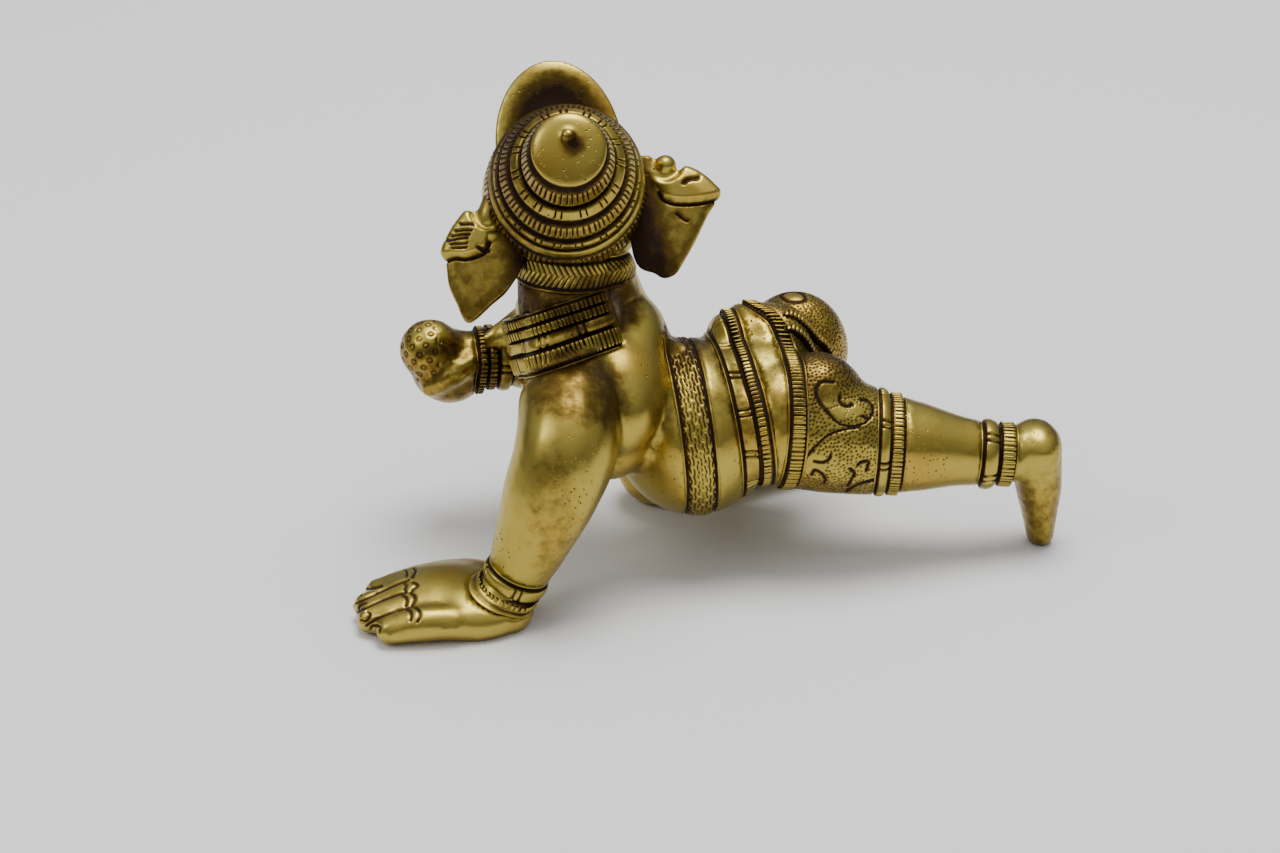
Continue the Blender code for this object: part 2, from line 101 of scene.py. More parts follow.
PALM = ((52.4, 27.4, 3.0), (12.2, 10.8, 5.8))
HAND_DOME = ((57.5, 24.0, 3.0), (15.0, 12.5, 5.7))
FINGER_WEB = ((62.0, 26.6, 2.8), (12.0, 10.4, 4.6))
HAND_HEEL = ((45.4, 27.6, 3.0), (5.4, 8.6, 5.2))
FINGER_ROOTS = (17.8, 23.6, 29.4, 35.0)
FINGER_TIPS = ((70.2, 18.8), (73.0, 24.2), (72.8, 29.6), (69.4, 34.6))
FINGER_ROOT_X, FINGER_ROOT_Z, FINGER_TIP_Z = 57.0, 3.9, 2.9
FINGER_RADIUS, FINGER_TIP_RADIUS = 3.6, 3.0
THUMB = (((48.5, 17.5, 4.0), 3.4), ((54.0, 13.2, 3.2), 3.0), ((59.6, 11.8, 2.6), 2.5))
FIST = ((51.2, -20.2, 33.8), (8.2, 7.2, 8.0))
LADDU = ((55.2, -19.0, 38.4), 6.4)
GRIP = (((46.5, -14.5, 37.0), 2.2), ((51.5, -13.2, 34.6), 2.3), ((56.0, -14.6, 31.6), 2.0))

HEAD_PLACE = (27.6, -5.5, 79.6)
HEAD_TURN, HEAD_TILT, HEAD_ROLL = (math.radians(angle) for angle in (-7.6, 32.5, 14.0))
SKULL_SIZE = (15.0, 14.6, 15.0)
FACE_ANGLE = math.radians(45)
TRUNK = (((0.0, 10.5, 1.0), 7.4), ((0.0, 17.5, -4.0), 6.0), ((0.0, 19.0, -12.0), 5.0),
         ((0.0, 15.5, -19.5), 4.3), ((-1.5, 11.5, -25.5), 3.8), ((-6.5, 10.0, -28.0), 3.3),
         ((-11.0, 11.5, -24.5), 2.8))
CHEEKS = ((6.8, 8.5, -4.5), 5.4)
BROW_LOBES = ((5.2, 9.0, 7.0), 5.8)

# The engraver's drawing on the side that faces up and back, as places on a sheet seen from
# SHEET_EYE. A sheet unit is a fifth of a millimetre on the casting
SHEET_EYE, SHEET_REACH = (105.3, 575.5, 310.8), 3157.0
SHEET_TURN, SHEET_FALL = math.radians(171), math.radians(26)
SHEET_BACK = (math.sin(SHEET_TURN) * math.cos(SHEET_FALL), -math.cos(SHEET_TURN) * math.cos(SHEET_FALL),
              math.sin(SHEET_FALL))
HAND_LINES = (((365.7, 625.6), (373.7, 620), (382, 615.7), (390.5, 612.2), (399, 609.4), (408.7, 607)),
              ((356.8, 612.2), (368, 605.9), (382, 599.6), (393.3, 595.4), (405.9, 591.6)),
              ((356.1, 602.7), (370.9, 595.4), (387.7, 587.7), (400.3, 582), (408, 579.5)),
              ((405.9, 570.2), (407.3, 573), (406.6, 575.8)),
              ((413.6, 568.8), (415.7, 571.1), (412.2, 576.7)),
              ((404.5, 582.8), (405.9, 584.9), (404.8, 588.4), (405.2, 591.9)),
              ((412.2, 581.4), (416.4, 583.5), (416.9, 585.6), (412.9, 588.4), (411.5, 591.2)),
              ((402.4, 594.7), (405.9, 596.8), (407, 600.3), (405.9, 605.2)),
              ((410.1, 591.9), (414.3, 595.4), (415, 599.6), (411.5, 605.9)),
              ((406.6, 608.7), (410.1, 610.8), (411.2, 615), (410.4, 620.6)),
              ((415, 606.6), (418.8, 610.1), (419.7, 615.7), (417.4, 622)),
              ((361, 594.7), (361.7, 591.2), (365.9, 588.4), (373, 587.7), (382, 585.2)),
              ((358.2, 610.1), (358.9, 606.6), (361.7, 603.8), (365.2, 602.4)),
              ((367.3, 611.5), (369.7, 613.6), (368.7, 617.8), (364.5, 621.3), (361, 620)),
              ((370.2, 629.8), (371.6, 626.3), (375.8, 624.6), (380, 627), (379.3, 631.2)))
LEAF_LINES = (((834, 382), (822, 382), (816, 389), (818, 399), (825, 409), (834, 419), (842, 424.5),
               (853, 426), (864.5, 423), (871.5, 416), (873.5, 407.5), (868.5, 400.5), (861.5, 399.5)),
              ((840, 395.5), (840.5, 402), (846, 406), (852.5, 404.5)),
              ((862.5, 416), (867, 418)),
              ((859, 427.5), (847.5, 429), (836.5, 431.5), (825, 437.5), (814, 448), (805.5, 458),
               (797, 469), (790, 480.5)),
              ((814, 461.5), (822.5, 462.5), (828.5, 459.5), (831, 454)),
              ((811.5, 475), (814.5, 470.5), (821, 473.5), (825, 479), (824, 483)),
              ((847.5, 486), (853, 477.5), (854.5, 473.5), (850, 469)),
              ((857.5, 465), (861.5, 462), (868.5, 461.5), (866.5, 470.5)),
              ((846, 491.5), (859, 484.5), (873, 480.5), (880, 477.5)),
              ((780, 296), (786, 292), (795, 291), (803, 294), (806, 299), (799, 301.5), (788, 300.5),
               (780, 296)))
LEAF_CLEAR = (((829, 394), (11, 14)), ((842, 413), (12, 7)), ((810, 463), (17, 11)), ((858, 410), (7, 5)),
              ((793, 296.5), (11, 4.5)))
LINE_WIDTH, LINE_DEPTH, LINE_STEP = 1.35, 0.34, 0.6
# Each place a golden angle on from the last one spreads places evenly
GOLDEN_ANGLE = 2.399963
HOLLOW_REACH, HOLLOW_RAYS, HOLLOW_LIFT, HOLLOW_GAIN = 11.0, 14, 0.35, 1.7
# Painted shade: a brown film over the places that the lamps leave dark, each with its middle, half sizes and
# strength
PAINTED_SHADE_REGIONS = (((28.0, -2.0, 55.5), (18.0, 20.0, 13.0), 0.5), ((49.0, -20.0, 35.0), (20.0, 12.0, 12.0), 0.36),
         ((6.0, -4.0, 44.0), (9.0, 18.0, 12.0), 0.35), ((-30.0, -24.0, 8.0), (34.0, 12.0, 14.0), 0.3),
         ((29.0, 22.0, 46.0), (13.0, 12.0, 12.0), 0.42), ((37.0, 34.0, 26.0), (6.0, 8.0, 22.0), 0.2),
         ((-10.0, 12.0, 42.0), (22.0, 18.0, 9.0), 0.26), ((-68.0, 13.0, 12.0), (9.0, 9.0, 22.0), 0.3))


def linear(hex_colour):
    """An sRGB hex colour as the linear one that a shader takes."""
    parts = [int(hex_colour[i:i + 2], 16) / 255 for i in (1, 3, 5)]
    return (*[p / 12.92 if p <= 0.04045 else ((p + 0.055) / 1.055) ** 2.4 for p in parts], 1.0)


def add_node(tree, kind, inputs=(), **settings):
    """A node with its settings, and its inputs as (socket, value or the socket that feeds it)."""
    node = tree.nodes.new(kind)
    for name, value in settings.items():
        setattr(node, name, value)
    for name, value in inputs:
        if isinstance(value, bpy.types.NodeSocket):
            tree.links.new(value, node.inputs[name])
        else:
            node.inputs[name].default_value = value
    return node


def make_brass():
    """Yellow casting brass, hand polished: warm and bright where it is handled, brown in its hollows and
    where shade is painted.
    """
    made = bpy.data.materials.new("polished_cast_brass")
    made.use_nodes = True
    tree = made.node_tree
    shader = tree.nodes["Principled BSDF"]
    place = add_node(tree, "ShaderNodeTexCoord").outputs["Object"]
    tarnish = add_node(tree, "ShaderNodeAttribute", attribute_name="tarnish").outputs["Fac"]
    # Tarnish and painted shade break up in blotches about 2 mm across
    blotch = add_node(tree, "ShaderNodeTexNoise", (
        ("Vector", place), ("Scale", 480.0), ("Detail", 6.0), ("Roughness", 0.65))).outputs["Fac"]
    lifted = add_node(tree, "ShaderNodeMath", (
        (0, blotch), (1, 0.75), (2, -0.375)), operation="MULTIPLY_ADD").outputs[0]
    blotched = add_node(tree, "ShaderNodeMath", ((0, tarnish), (1, lifted)), operation="ADD").outputs[0]
    # Casting pores, 0.3 mm wide and in loose patches
    pore = add_node(tree, "ShaderNodeTexVoronoi", (("Vector", place), ("Scale", 900.0))).outputs["Distance"]
    patch = add_node(tree, "ShaderNodeTexNoise", (
        ("Vector", place), ("Scale", 70.0), ("Detail", 3.0))).outputs["Fac"]
    near = add_node(tree, "ShaderNodeMapRange", (("Value", pore), ("From Min", 0.24), ("From Max", 0.1)))
    where = add_node(tree, "ShaderNodeMapRange", (("Value", patch), ("From Min", 0.5), ("From Max", 0.64)))
    pores = add_node(tree, "ShaderNodeMath", (
        (0, near.outputs[0]), (1, where.outputs[0])), operation="MULTIPLY").outputs[0]
    # A brown film of tarnish and painted shade comes first, and then the dark crust of the hollows and of the
    # deepest painted shade
    film_and_shade, crust_and_shade = (add_node(tree, "ShaderNodeMapRange", (
        ("Value", blotched), ("From Min", low), ("From Max", high)),
        interpolation_type="SMOOTHSTEP").outputs["Result"] for low, high in ((0.05, 0.5), (0.38, 0.9)))
    dark = add_node(tree, "ShaderNodeMath", ((0, crust_and_shade), (1, pores)), operation="MAXIMUM").outputs[0]
    # Handling warms the metal in broad patches about 15 mm across
    warmth = add_node(tree, "ShaderNodeTexNoise", (
        ("Vector", place), ("Scale", 62.0), ("Detail", 4.0))).outputs["Fac"]
    warm = add_node(tree, "ShaderNodeMapRange", (("Value", warmth), ("From Min", 0.45), ("From Max", 0.75)))
    colour = linear("#B3A04A")
    for share, shade in ((warm.outputs[0], "#AE8936"), (film_and_shade, "#665022"), (dark, "#2A1A0C")):
        colour = add_node(tree, "ShaderNodeMix", (
            ("Factor", share), (6, colour), (7, linear(shade))), data_type="RGBA").outputs[2]
    tree.links.new(colour, shader.inputs["Base Color"])
    bare = add_node(tree, "ShaderNodeMapRange", (("Value", dark), ("To Min", 1.0), ("To Max", 0.8)))
    tree.links.new(bare.outputs[0], shader.inputs["Metallic"])
    haze = add_node(tree, "ShaderNodeMath", ((0, blotch), (1, 0.22), (2, 0.22)), operation="MULTIPLY_ADD")
    dull = add_node(tree, "ShaderNodeMath", (
        (0, dark), (1, 0.34), (2, haze.outputs[0])), operation="MULTIPLY_ADD")
    tree.links.new(dull.outputs[0], shader.inputs["Roughness"])
    # The file and the polishing cloth leave a faint grain of about 0.5 mm
    grain = add_node(tree, "ShaderNodeTexNoise", (
        ("Vector", place), ("Scale", 1500.0), ("Detail", 3.0))).outputs["Fac"]
    fine = add_node(tree, "ShaderNodeMath", ((0, grain), (1, 0.10)), operation="MULTIPLY").outputs[0]
    height = add_node(tree, "ShaderNodeMath", (
        (0, pores), (1, -1.0), (2, fine)), operation="MULTIPLY_ADD").outputs[0]
    bump = add_node(tree, "ShaderNodeBump", (("Height", height), ("Strength", 0.55), ("Distance", 0.00025)))
    tree.links.new(bump.outputs["Normal"], shader.inputs["Normal"])
    return made


def head_frame():
    """The placing of the head's own axes: +Y up the crown, +Z to the top of the tiara."""
    turned = Euler((HEAD_TILT, 0, HEAD_TURN), "XYZ").to_matrix().to_4x4()
    return Matrix.Translation(HEAD_PLACE) @ turned @ Matrix.Rotation(HEAD_ROLL, 4, "Y")


def face_frame():
    """The face's own axes: it looks along +Y, with +Z up its brow."""
    return head_frame() @ Matrix.Rotation(-FACE_ANGLE, 4, "X") @ Matrix.Rotation(math.pi, 4, "Z")


def set_out(name, data):
    """A new object in the scene, at the origin."""
    made = bpy.data.objects.new(name, data)
    bpy.context.scene.collection.objects.link(made)
    return made


def turned_to_mesh(holder):
    """The plain mesh that an object comes to, with the object removed."""
    bpy.context.view_layer.update()
    graph = bpy.context.evaluated_depsgraph_get()
    made = bpy.data.meshes.new_from_object(holder.evaluated_get(graph))
    bpy.data.objects.remove(holder)
    return made


class Clay:
    """Closed shapes gathered in one mesh, to be melted into one skin."""

    def __init__(self):
        self.mesh = bmesh.new()

    def egg(self, centre, size, frame=Matrix()):
        size = (size,) * 3 if isinstance(size, float) else size
        place = frame @ Matrix.Translation(centre) @ Matrix.Diagonal((*size, 1.0))
        bmesh.ops.create_icosphere(self.mesh, subdivisions=4, radius=1.0, matrix=place)

    def limb(self, joints, frame=Matrix(), breadth=1.0):
        """A round limb through the joints, swelling from each radius to the next."""
        curve = bpy.data.curves.new("limb", "CURVE")
        curve.dimensions, curve.bevel_depth, curve.use_fill_caps = "3D", 1.0, True
        curve.bevel_resolution = 6
        spline = curve.splines.new("BEZIER")
        spline.bezier_points.add(len(joints) - 1)
        for point, (place, radius) in zip(spline.bezier_points, joints):
            point.co, point.radius = place, radius
            point.handle_left_type = point.handle_right_type = "AUTO"
        made = turned_to_mesh(set_out("limb", curve))
        centre = Vector(joints[0][0])
        about = Matrix.Translation(centre) @ Matrix.Diagonal((1, breadth, 1, 1)) @ Matrix.Translation(-centre)
        made.transform(frame @ about)
        self.add(made)
        for place, radius in (joints[0], joints[-1]):
            self.egg(place, (radius, radius * breadth, radius), frame)

    def add(self, mesh):
        """Takes in a mesh and welds its loose caps."""
        start = len(self.mesh.verts)
        self.mesh.from_mesh(mesh)
        self.mesh.verts.ensure_lookup_table()
        bmesh.ops.remove_doubles(self.mesh, verts=self.mesh.verts[start:], dist=1e-4)

    def plate(self, outline, rim, thickness, frame, shoulder=0.72):
        """An outline in X and Z with a thin rim, and as thick as said over its middle, along Y."""
        middle = sum((Vector(point) for point in outline), Vector((0, 0))) / len(outline)
        rings = []
        for share, deep in ((1.0, rim), (shoulder, thickness)):
            inset = [middle + (Vector(point) - middle) * share for point in outline]
            for side in (-0.5, 0.5):
                rings.append([self.mesh.verts.new(frame @ Vector((x, side * deep, z))) for x, z in inset])
        self.mesh.faces.new(rings[2])
        self.mesh.faces.new(rings[3][::-1])
        for i in range(len(outline)):
            j = (i + 1) % len(outline)
            for outer, inner in ((rings[0], rings[2]), (rings[1], rings[0]), (rings[3], rings[1])):
                self.mesh.faces.new((inner[j], inner[i], outer[i], outer[j]))

    def melted(self, name, voxel, smoothing):
        """The gathered shapes as one closed mesh."""
        bmesh.ops.recalc_face_normals(self.mesh, faces=self.mesh.faces)
        mesh = bpy.data.meshes.new(name)
        self.mesh.to_mesh(mesh)
        self.mesh.free()
        lump = set_out(name, mesh)
        melt = lump.modifiers.new("melt", "REMESH")
        melt.mode, melt.voxel_size = "VOXEL", voxel
        soften = lump.modifiers.new("soften", "SMOOTH")
        soften.iterations = smoothing
        return turned_to_mesh(lump)


def rows_of(mesh, key="co"):
    """A mesh's points, or its normals, as rows of three."""
    flat = np.empty(len(mesh.vertices) * 3, np.float32)
    mesh.vertices.foreach_get(key, flat)
    return flat.reshape(-1, 3).astype(float)


def moved(mesh, points):
    """Puts a mesh's vertices at new points."""
    mesh.vertices.foreach_set("co", points.ravel())
    mesh.update()


def smooth_step(value, low, high):
    share = np.clip((value - low) / (high - low), 0, 1)
    return share * share * (3 - 2 * share)


def tree_of(mesh):
    """A search tree over a mesh's faces, for rays."""
    return BVHTree.FromPolygons([v.co for v in mesh.vertices], [tuple(f.vertices) for f in mesh.polygons])


def hollowness(tree, points, normals):
    """How shut in each point is, from 0 in the open to about 1, by rays over its normal."""
    turns = np.arange(HOLLOW_RAYS) * GOLDEN_ANGLE
    spreads = np.sqrt((np.arange(HOLLOW_RAYS) + 0.5) / HOLLOW_RAYS)
    shut = np.zeros(len(points))
    for i, (point, normal) in enumerate(zip(points, normals)):
        up = Vector(normal)
        side = up.orthogonal().normalized()
        other = up.cross(side)
        start = Vector(point) + up * HOLLOW_LIFT
        for turn, spread in zip(turns, spreads):
            way = side * (math.cos(turn) * spread) + other * (math.sin(turn) * spread)
            way += up * math.sqrt(1 - spread * spread)
            hit = tree.ray_cast(start, way, HOLLOW_REACH)[3]
            if hit is not None:
                shut[i] += 1 - hit / HOLLOW_REACH
    return shut / HOLLOW_RAYS * HOLLOW_GAIN


def painted_shade(points):
    """The painted shade at each place, a brown film, from 0 to 1."""
    film = np.zeros(len(points))
    for centre, size, strength in PAINTED_SHADE_REGIONS:
        away = (((points - np.array(centre)) / np.array(size)) ** 2).sum(1)
        film = np.maximum(film, strength * smooth_step(-away, -1.0, -0.3))
    return film


def finish_piece(name, mesh, tarnish):
    """Turns a mesh in figure millimetres into a finished piece of the casting."""
    # Painted shade is laid over the tarnish given for the piece
    tarnish = np.clip(tarnish + painted_shade(rows_of(mesh)), 0, 1)
    layer = mesh.attributes.new("tarnish", "FLOAT", "POINT")
    layer.data.foreach_set("value", tarnish)
    mesh.transform(Matrix.Scale(MM, 4) @ Matrix.Translation(-Vector(BASE)))
    mesh.materials.clear()
    mesh.materials.append(brass)
    mesh.polygons.foreach_set("use_smooth", [True] * len(mesh.polygons))
    piece = set_out(name, mesh)
    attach(piece, "root")
    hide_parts("baby_ganesha")


def on_sheet(points):
    """Where points of the casting fall on the engraver's sheet, and the way to the sheet's eye."""
    back = np.array(SHEET_BACK)
    right = np.array((math.cos(SHEET_TURN), math.sin(SHEET_TURN), 0.0))
    off = points - np.array(SHEET_EYE)
    deep = -(off @ back)
    across, rise = off @ right, off @ np.cross(back, right)
    flat = np.stack((640 + SHEET_REACH * across / deep, 426.5 - SHEET_REACH * rise / deep), axis=1)
    return flat, -off / np.linalg.norm(off, axis=1)[:, None]


def on_curve(a, b, c, d, share):
    """The place at a share of the way from b to c, on a smooth curve that a and d steer."""
    return 0.5 * (2 * b + (c - a) * share + (2 * a - 5 * b + 4 * c - d) * share ** 2
                  + (3 * b - a - 3 * c + d) * share ** 3)


def drawn(line, step):
    """Points at even steps along a smooth curve through those given."""
    given = np.array(line, float)
    ends = np.vstack((2 * given[0] - given[1], given, 2 * given[-1] - given[-2]))
    out = []
    for a, b, c, d in zip(ends, ends[1:], ends[2:], ends[3:]):
        shares = np.arange(0, 1, step / max(np.linalg.norm(c - b), step))
        out += [on_curve(a, b, c, d, share) for share in shares]
    return np.vstack((out, given[-1:]))


def engraved(flat, facing, lines, width=LINE_WIDTH):
    """How deep the graver's lines cut at each place on the sheet, from 0 to 1."""
    depth = np.zeros(len(flat))
    for line in lines:
        path = drawn(line, width * LINE_STEP)
        box = np.all((flat > path.min(0) - 5) & (flat < path.max(0) + 5), axis=1) & (facing > 0.05)
        if not box.any():
            continue
        away = np.sqrt(((flat[box][:, None] - path[None]) ** 2).sum(2)).min(1)
        depth[box] = np.maximum(depth[box], np.exp(-(away / width) ** 2))
    return depth


def finer(mesh, zones):
    """Splits the faces whose middles fall in each zone, one zone after another."""
    work = bmesh.new()
    work.from_mesh(mesh)
    for inside in zones:
        chosen = inside(np.array([face.calc_center_median() for face in work.faces]))
        faces = [face for face, here in zip(work.faces, chosen) if here]
        edges = {edge for face in faces for edge in face.edges}
        bmesh.ops.subdivide_edges(work, edges=list(edges), cuts=1, use_grid_fill=True)
    work.to_mesh(mesh)
    work.free()
    mesh.update()


def relaxed(mesh, where, rounds):
    """Evens out the vertices picked, each towards the middle of its neighbours."""
    points = rows_of(mesh)
    ends = np.empty(len(mesh.edges) * 2, np.int32)
    mesh.edges.foreach_get("vertices", ends)
    one, two = ends[::2], ends[1::2]
    count = np.bincount(ends, minlength=len(points))[:, None]
    for _ in range(rounds):
        total = np.zeros_like(points)
        for axis in range(3):
            total[:, axis] = (np.bincount(one, points[two, axis], len(points))
                              + np.bincount(two, points[one, axis], len(points)))
        points[where] += 0.5 * (total / count - points)[where]
    moved(mesh, points)


brass = make_brass()
clay = Clay()
for centre, size in TORSO:
    clay.egg(centre, size)
for joints in (LEFT_ARM, RIGHT_ARM, LEFT_LEG, RIGHT_THIGH, RIGHT_SHIN, NAPE, NECK):
    clay.limb(joints)
for joints in (LEFT_FOOT, RIGHT_FOOT):
    clay.limb(joints, breadth=FOOT_BREADTH)
for centre, size in (PALM, HAND_DOME, FINGER_WEB, HAND_HEEL):
    clay.egg(centre, size)
for root, (tip_x, tip_y) in zip(FINGER_ROOTS, FINGER_TIPS):
    knuckle = ((FINGER_ROOT_X + tip_x) / 2, (root + tip_y) / 2, FINGER_ROOT_Z)
    clay.limb((((FINGER_ROOT_X, root, FINGER_ROOT_Z), FINGER_RADIUS), (knuckle, FINGER_RADIUS),
               ((tip_x, tip_y, FINGER_TIP_Z), FINGER_TIP_RADIUS)))
# Metal fills the gaps between the fingers almost to their tips
for (x1, y1), (x2, y2) in zip(FINGER_TIPS, FINGER_TIPS[1:]):
    between = (y1 + y2) / 2
    clay.limb((((FINGER_ROOT_X, between, FINGER_ROOT_Z), FINGER_RADIUS),
               ((min(x1, x2) - 0.2, between, FINGER_TIP_Z), FINGER_TIP_RADIUS)))
clay.limb(THUMB)
clay.egg(*FIST)
clay.egg(*LADDU)
clay.limb(GRIP)
head, face = head_frame(), face_frame()
clay.egg((0, 0, 0), SKULL_SIZE, head)
clay.limb(TRUNK, face)
for centre, radius in (CHEEKS, BROW_LOBES):
    for side in (-1, 1):
        clay.egg((side * centre[0], *centre[1:]), radius, face)
skin = clay.melted("skin", SKIN_VOXEL, SKIN_SMOOTHING)
skin_tree = tree_of(skin)


# Belts, hems and rings

# The collar, nape band, sash, belts, hem, anklet and bracelets are part of the casting. Each is a
# low band bordered by grooves, then cut across with the graver: in pairs on the plain bands, close
# together on the ticked ones, in waves on the sash and in arrowheads on the nape.

BAND_SINK, BAND_MARGIN, GROOVE_FLOOR, GROOVE_WIDTH = 1.6, 0.8, -0.35, 0.45
BAND_REACH, BAND_BRIDGE, SKIN_GAP = 24.0, 4.5, 0.05
# Each band: a place inside it, the way that its thread runs through it, and its strips from one edge
# to the other, each with where it begins and ends, how high it stands and what is cut across it
BANDS = (
    ("belt", (-6.6, 1.0, 29.0), (-0.993, -0.023, 0.118),
     ((-3.1, -0.3, 0.5, "pairs"), (0.3, 2.1, 0.32, "ticks"))),
    ("hip_belt", (-14.8, 2.0, 31.0), (-0.995, 0.03, -0.08), ((-1.3, 1.3, 0.42, "ticks"),)),
    ("sash", (4.8, 2.0, 27.0), (-0.997, 0.008, 0.08), ((-2.8, 2.6, 0.3, "waves"),)),
    ("hem", (-34.8, 12.3, 24.8), (-0.985, 0.16, -0.05),
     ((-2.1, -0.1, 0.45, "pairs"), (0.4, 2.6, 0.42, "ticks"))),
    ("anklet", (-58.0, 13.0, 21.1), (-0.985, 0.15, -0.08),
     ((-3.4, -0.3, 1.0, "pairs"), (0.3, 3.0, 0.8, "ticks"))),
    ("left_bracelet", (43.0, 27.6, 9.2), (0.378, -0.115, -0.918),
     ((-0.8, 1.9, 0.7, "pairs"), (2.3, 3.6, 0.5, "ticks"))),
    ("right_bracelet", (42.2, -20.2, 34.8), (1.0, 0.06, 0.06),
     ((-3.4, -0.6, 1.2, "pairs"), (0.0, 1.5, 1.0, "ticks"), (2.1, 3.5, 0.9, "ticks"))),
    ("collar", (28.5, 2.2, 44.6), (0.25, -0.4, 0.88),
     ((-0.2, 3.2, 1.2, "ticks"), (3.6, 6.2, 1.0, "pairs"), (6.6, 8.3, 0.9, "ticks"),
      (8.8, 10.4, 0.7, "ticks"))),
    ("nape_band", (28.7, -2.8, 63.1), (-0.06, -0.122, 0.991), ((-2.6, 2.1, 0.5, "arrows"),)),
)
# Where a band is cut short, kept out, or drawn along: its reach, its reach at turn 0, its least
# radius, how steeply it may fall in, and how far it is drawn, at what turn and over what width
STEEP, UNDRAWN = 99.0, (0.0, 0.0, 1.0)
FITS = {"hip_belt": (BAND_REACH, BAND_REACH, 0.0, STEEP, (-6.5, math.radians(145), math.radians(25))),
        "collar": (19.5, 13.0, 11.0, 0.5, UNDRAWN), "nape_band": (14.0, 14.0, 10.0, STEEP, UNDRAWN)}
PLAIN_FIT = (BAND_REACH, BAND_REACH, 0.0, STEEP, UNDRAWN)
ROW_STEP, COLUMN_STEP = 0.22, 0.25
TICK_PITCH, TICK_GAP, TICK_HEIGHT = 0.92, 0.24, 0.4
PAIR_PITCH, PAIR_SPREAD, PAIR_WIDTH, PAIR_DEPTH = 8.5, 1.3, 0.2, 0.5
WAVE_ROWS, WAVE_PITCH, WAVE_RISE, WAVE_WIDTH, WAVE_DEPTH = 7, 2.3, 0.11, 0.15, 0.42
ARROW_PITCH, ARROW_SLOPE, ARROW_SHARE, ARROW_DEPTH = 1.15, 0.6, 0.17, 0.4
STRIP_EDGE_OUT, STRIP_EDGE_IN = 0.15, 0.2


def across(axis):
    """Two directions square to an axis and to each other."""
    first = axis.cross(Vector((0, 1, 0))).normalized()
    return first, axis.cross(first)


def blurred(grid, rows, columns):
    """A grid softened along its rows, which end, and round its columns, which join."""
    out = grid.copy()
    for _ in range(rows):
        padded = np.vstack((out[:1], out, out[-1:]))
        out = (padded[:-2] + 2 * padded[1:-1] + padded[2:]) / 4
    for _ in range(columns):
        out = (np.roll(out, 1, 1) + 2 * out + np.roll(out, -1, 1)) / 4
    return out


def shifted(turns, drawn):
    """How far a band is drawn along its thread at each turn round it."""
    amount, middle, width = drawn
    return amount * np.exp(-((turns - middle) / width) ** 2)


def skin_out(start, way, reach):
    """How far out the skin lies along a ray, past any dip that a band would bridge."""
    out = skin_tree.ray_cast(start, way, reach)[3]
    if out is None:
        return reach - BAND_SINK
    dip = skin_tree.ray_cast(start + way * (out + SKIN_GAP), way, BAND_BRIDGE)[3]
    if dip is None:
        return out
    beyond = out + dip + 2 * SKIN_GAP
    further = skin_tree.ray_cast(start + way * beyond, way, reach - beyond)[3]
    return out if further is None else beyond + further


def laid_round(centre, axis, places, steps, fit):
    """How far out the skin lies round a line, as a grid of rows along it and turns round it."""
    first, second = across(axis)
    far, near, least, fall, drawn = fit
    turns = 2 * np.pi * np.arange(steps) / steps
    shift, reaches = shifted(turns, drawn), far + (near - far) * smooth_step(np.cos(turns), 0.5, 0.8)
    ways = [first * math.cos(turn) + second * math.sin(turn) for turn in turns]
    out = np.empty((len(places), steps))
    for row, place in enumerate(places):
        for column, way in enumerate(ways):
            start = centre + axis * (place + shift[column])
            out[row, column] = max(skin_out(start, way, reaches[column]), least)
    for row in range(1, len(places)):
        out[row] = np.maximum(out[row], out[row - 1] - fall * ROW_STEP)
    return out, np.array(ways), shift


def mesh_of(name, points, joined):
    """A mesh over a grid of points, joined round its columns, and its rows joined too or capped."""
    rows, columns = points.shape[:2]
    index = np.arange(rows * columns).reshape(rows, columns)
    below, right = np.roll(index, -1, 0), np.roll(index, -1, 1)
    faces = np.stack((index, right, np.roll(right, -1, 0), below), axis=-1)
    mesh = bpy.data.meshes.new(name)
    mesh.from_pydata(points.reshape(-1, 3).tolist(), [],
                     faces[:rows if joined else rows - 1].reshape(-1, 4).tolist())
    work = bmesh.new()
    work.from_mesh(mesh)
    bmesh.ops.holes_fill(work, edges=[edge for edge in work.edges if edge.is_boundary], sides=0)
    bmesh.ops.recalc_face_normals(work, faces=work.faces)
    work.to_mesh(mesh)
    work.free()
    mesh.update()
    return mesh


def bed(places, strips):
    """Each row's lift above the skin, and the height of the strip that it belongs to."""
    low, high = strips[0][0], strips[-1][1]
    lift, top = np.full(len(places), GROOVE_FLOOR), np.full(len(places), min(strip[2] for strip in strips))
    outside = (places < low - GROOVE_WIDTH) | (places > high + GROOVE_WIDTH)
    lift[outside] = top[outside] = 0.03
    for begin, end, height, _ in strips:
        inside = (smooth_step(places, begin - STRIP_EDGE_OUT, begin + STRIP_EDGE_IN)
                  * smooth_step(-places, -end - STRIP_EDGE_OUT, -end + STRIP_EDGE_IN))
        crown = 1 - 0.35 * ((places - (begin + end) / 2) / ((end - begin) / 2)) ** 2
        lift = np.maximum(lift, GROOVE_FLOOR + (height - GROOVE_FLOOR) * inside * np.clip(crown, 0, 1))
        top[(places > begin) & (places < end)] = height * 0.9
    return lift, top


def pair_cuts(around, length):
    """Cuts across a plain band, two by two."""
    pitch = length / max(round(length / PAIR_PITCH), 1)
    near = np.abs((around + pitch / 2) % pitch - pitch / 2)
    return np.exp(-((near - PAIR_SPREAD / 2) / PAIR_WIDTH) ** 2)


def wave_cuts(places, around, length, begin, end):
    """Long wavy cuts along the band, in staggered rows."""
    pitch = length / round(length / WAVE_PITCH)
    wide = (end - begin) / WAVE_ROWS
    wave = places[:, None] + WAVE_RISE * np.sin(2 * np.pi * around[None] / pitch)
    row = np.floor((wave - begin) / wide)
    off = (wave - begin) / wide - row - 0.5
    phase = (around[None] / pitch / 2.1 + 0.37 * row) % 1
    long = smooth_step(phase, 0.02, 0.1) * smooth_step(-phase, -0.96, -0.86)
    return np.exp(-(off * wide / WAVE_WIDTH) ** 2) * long * ((row >= 0) & (row < WAVE_ROWS))


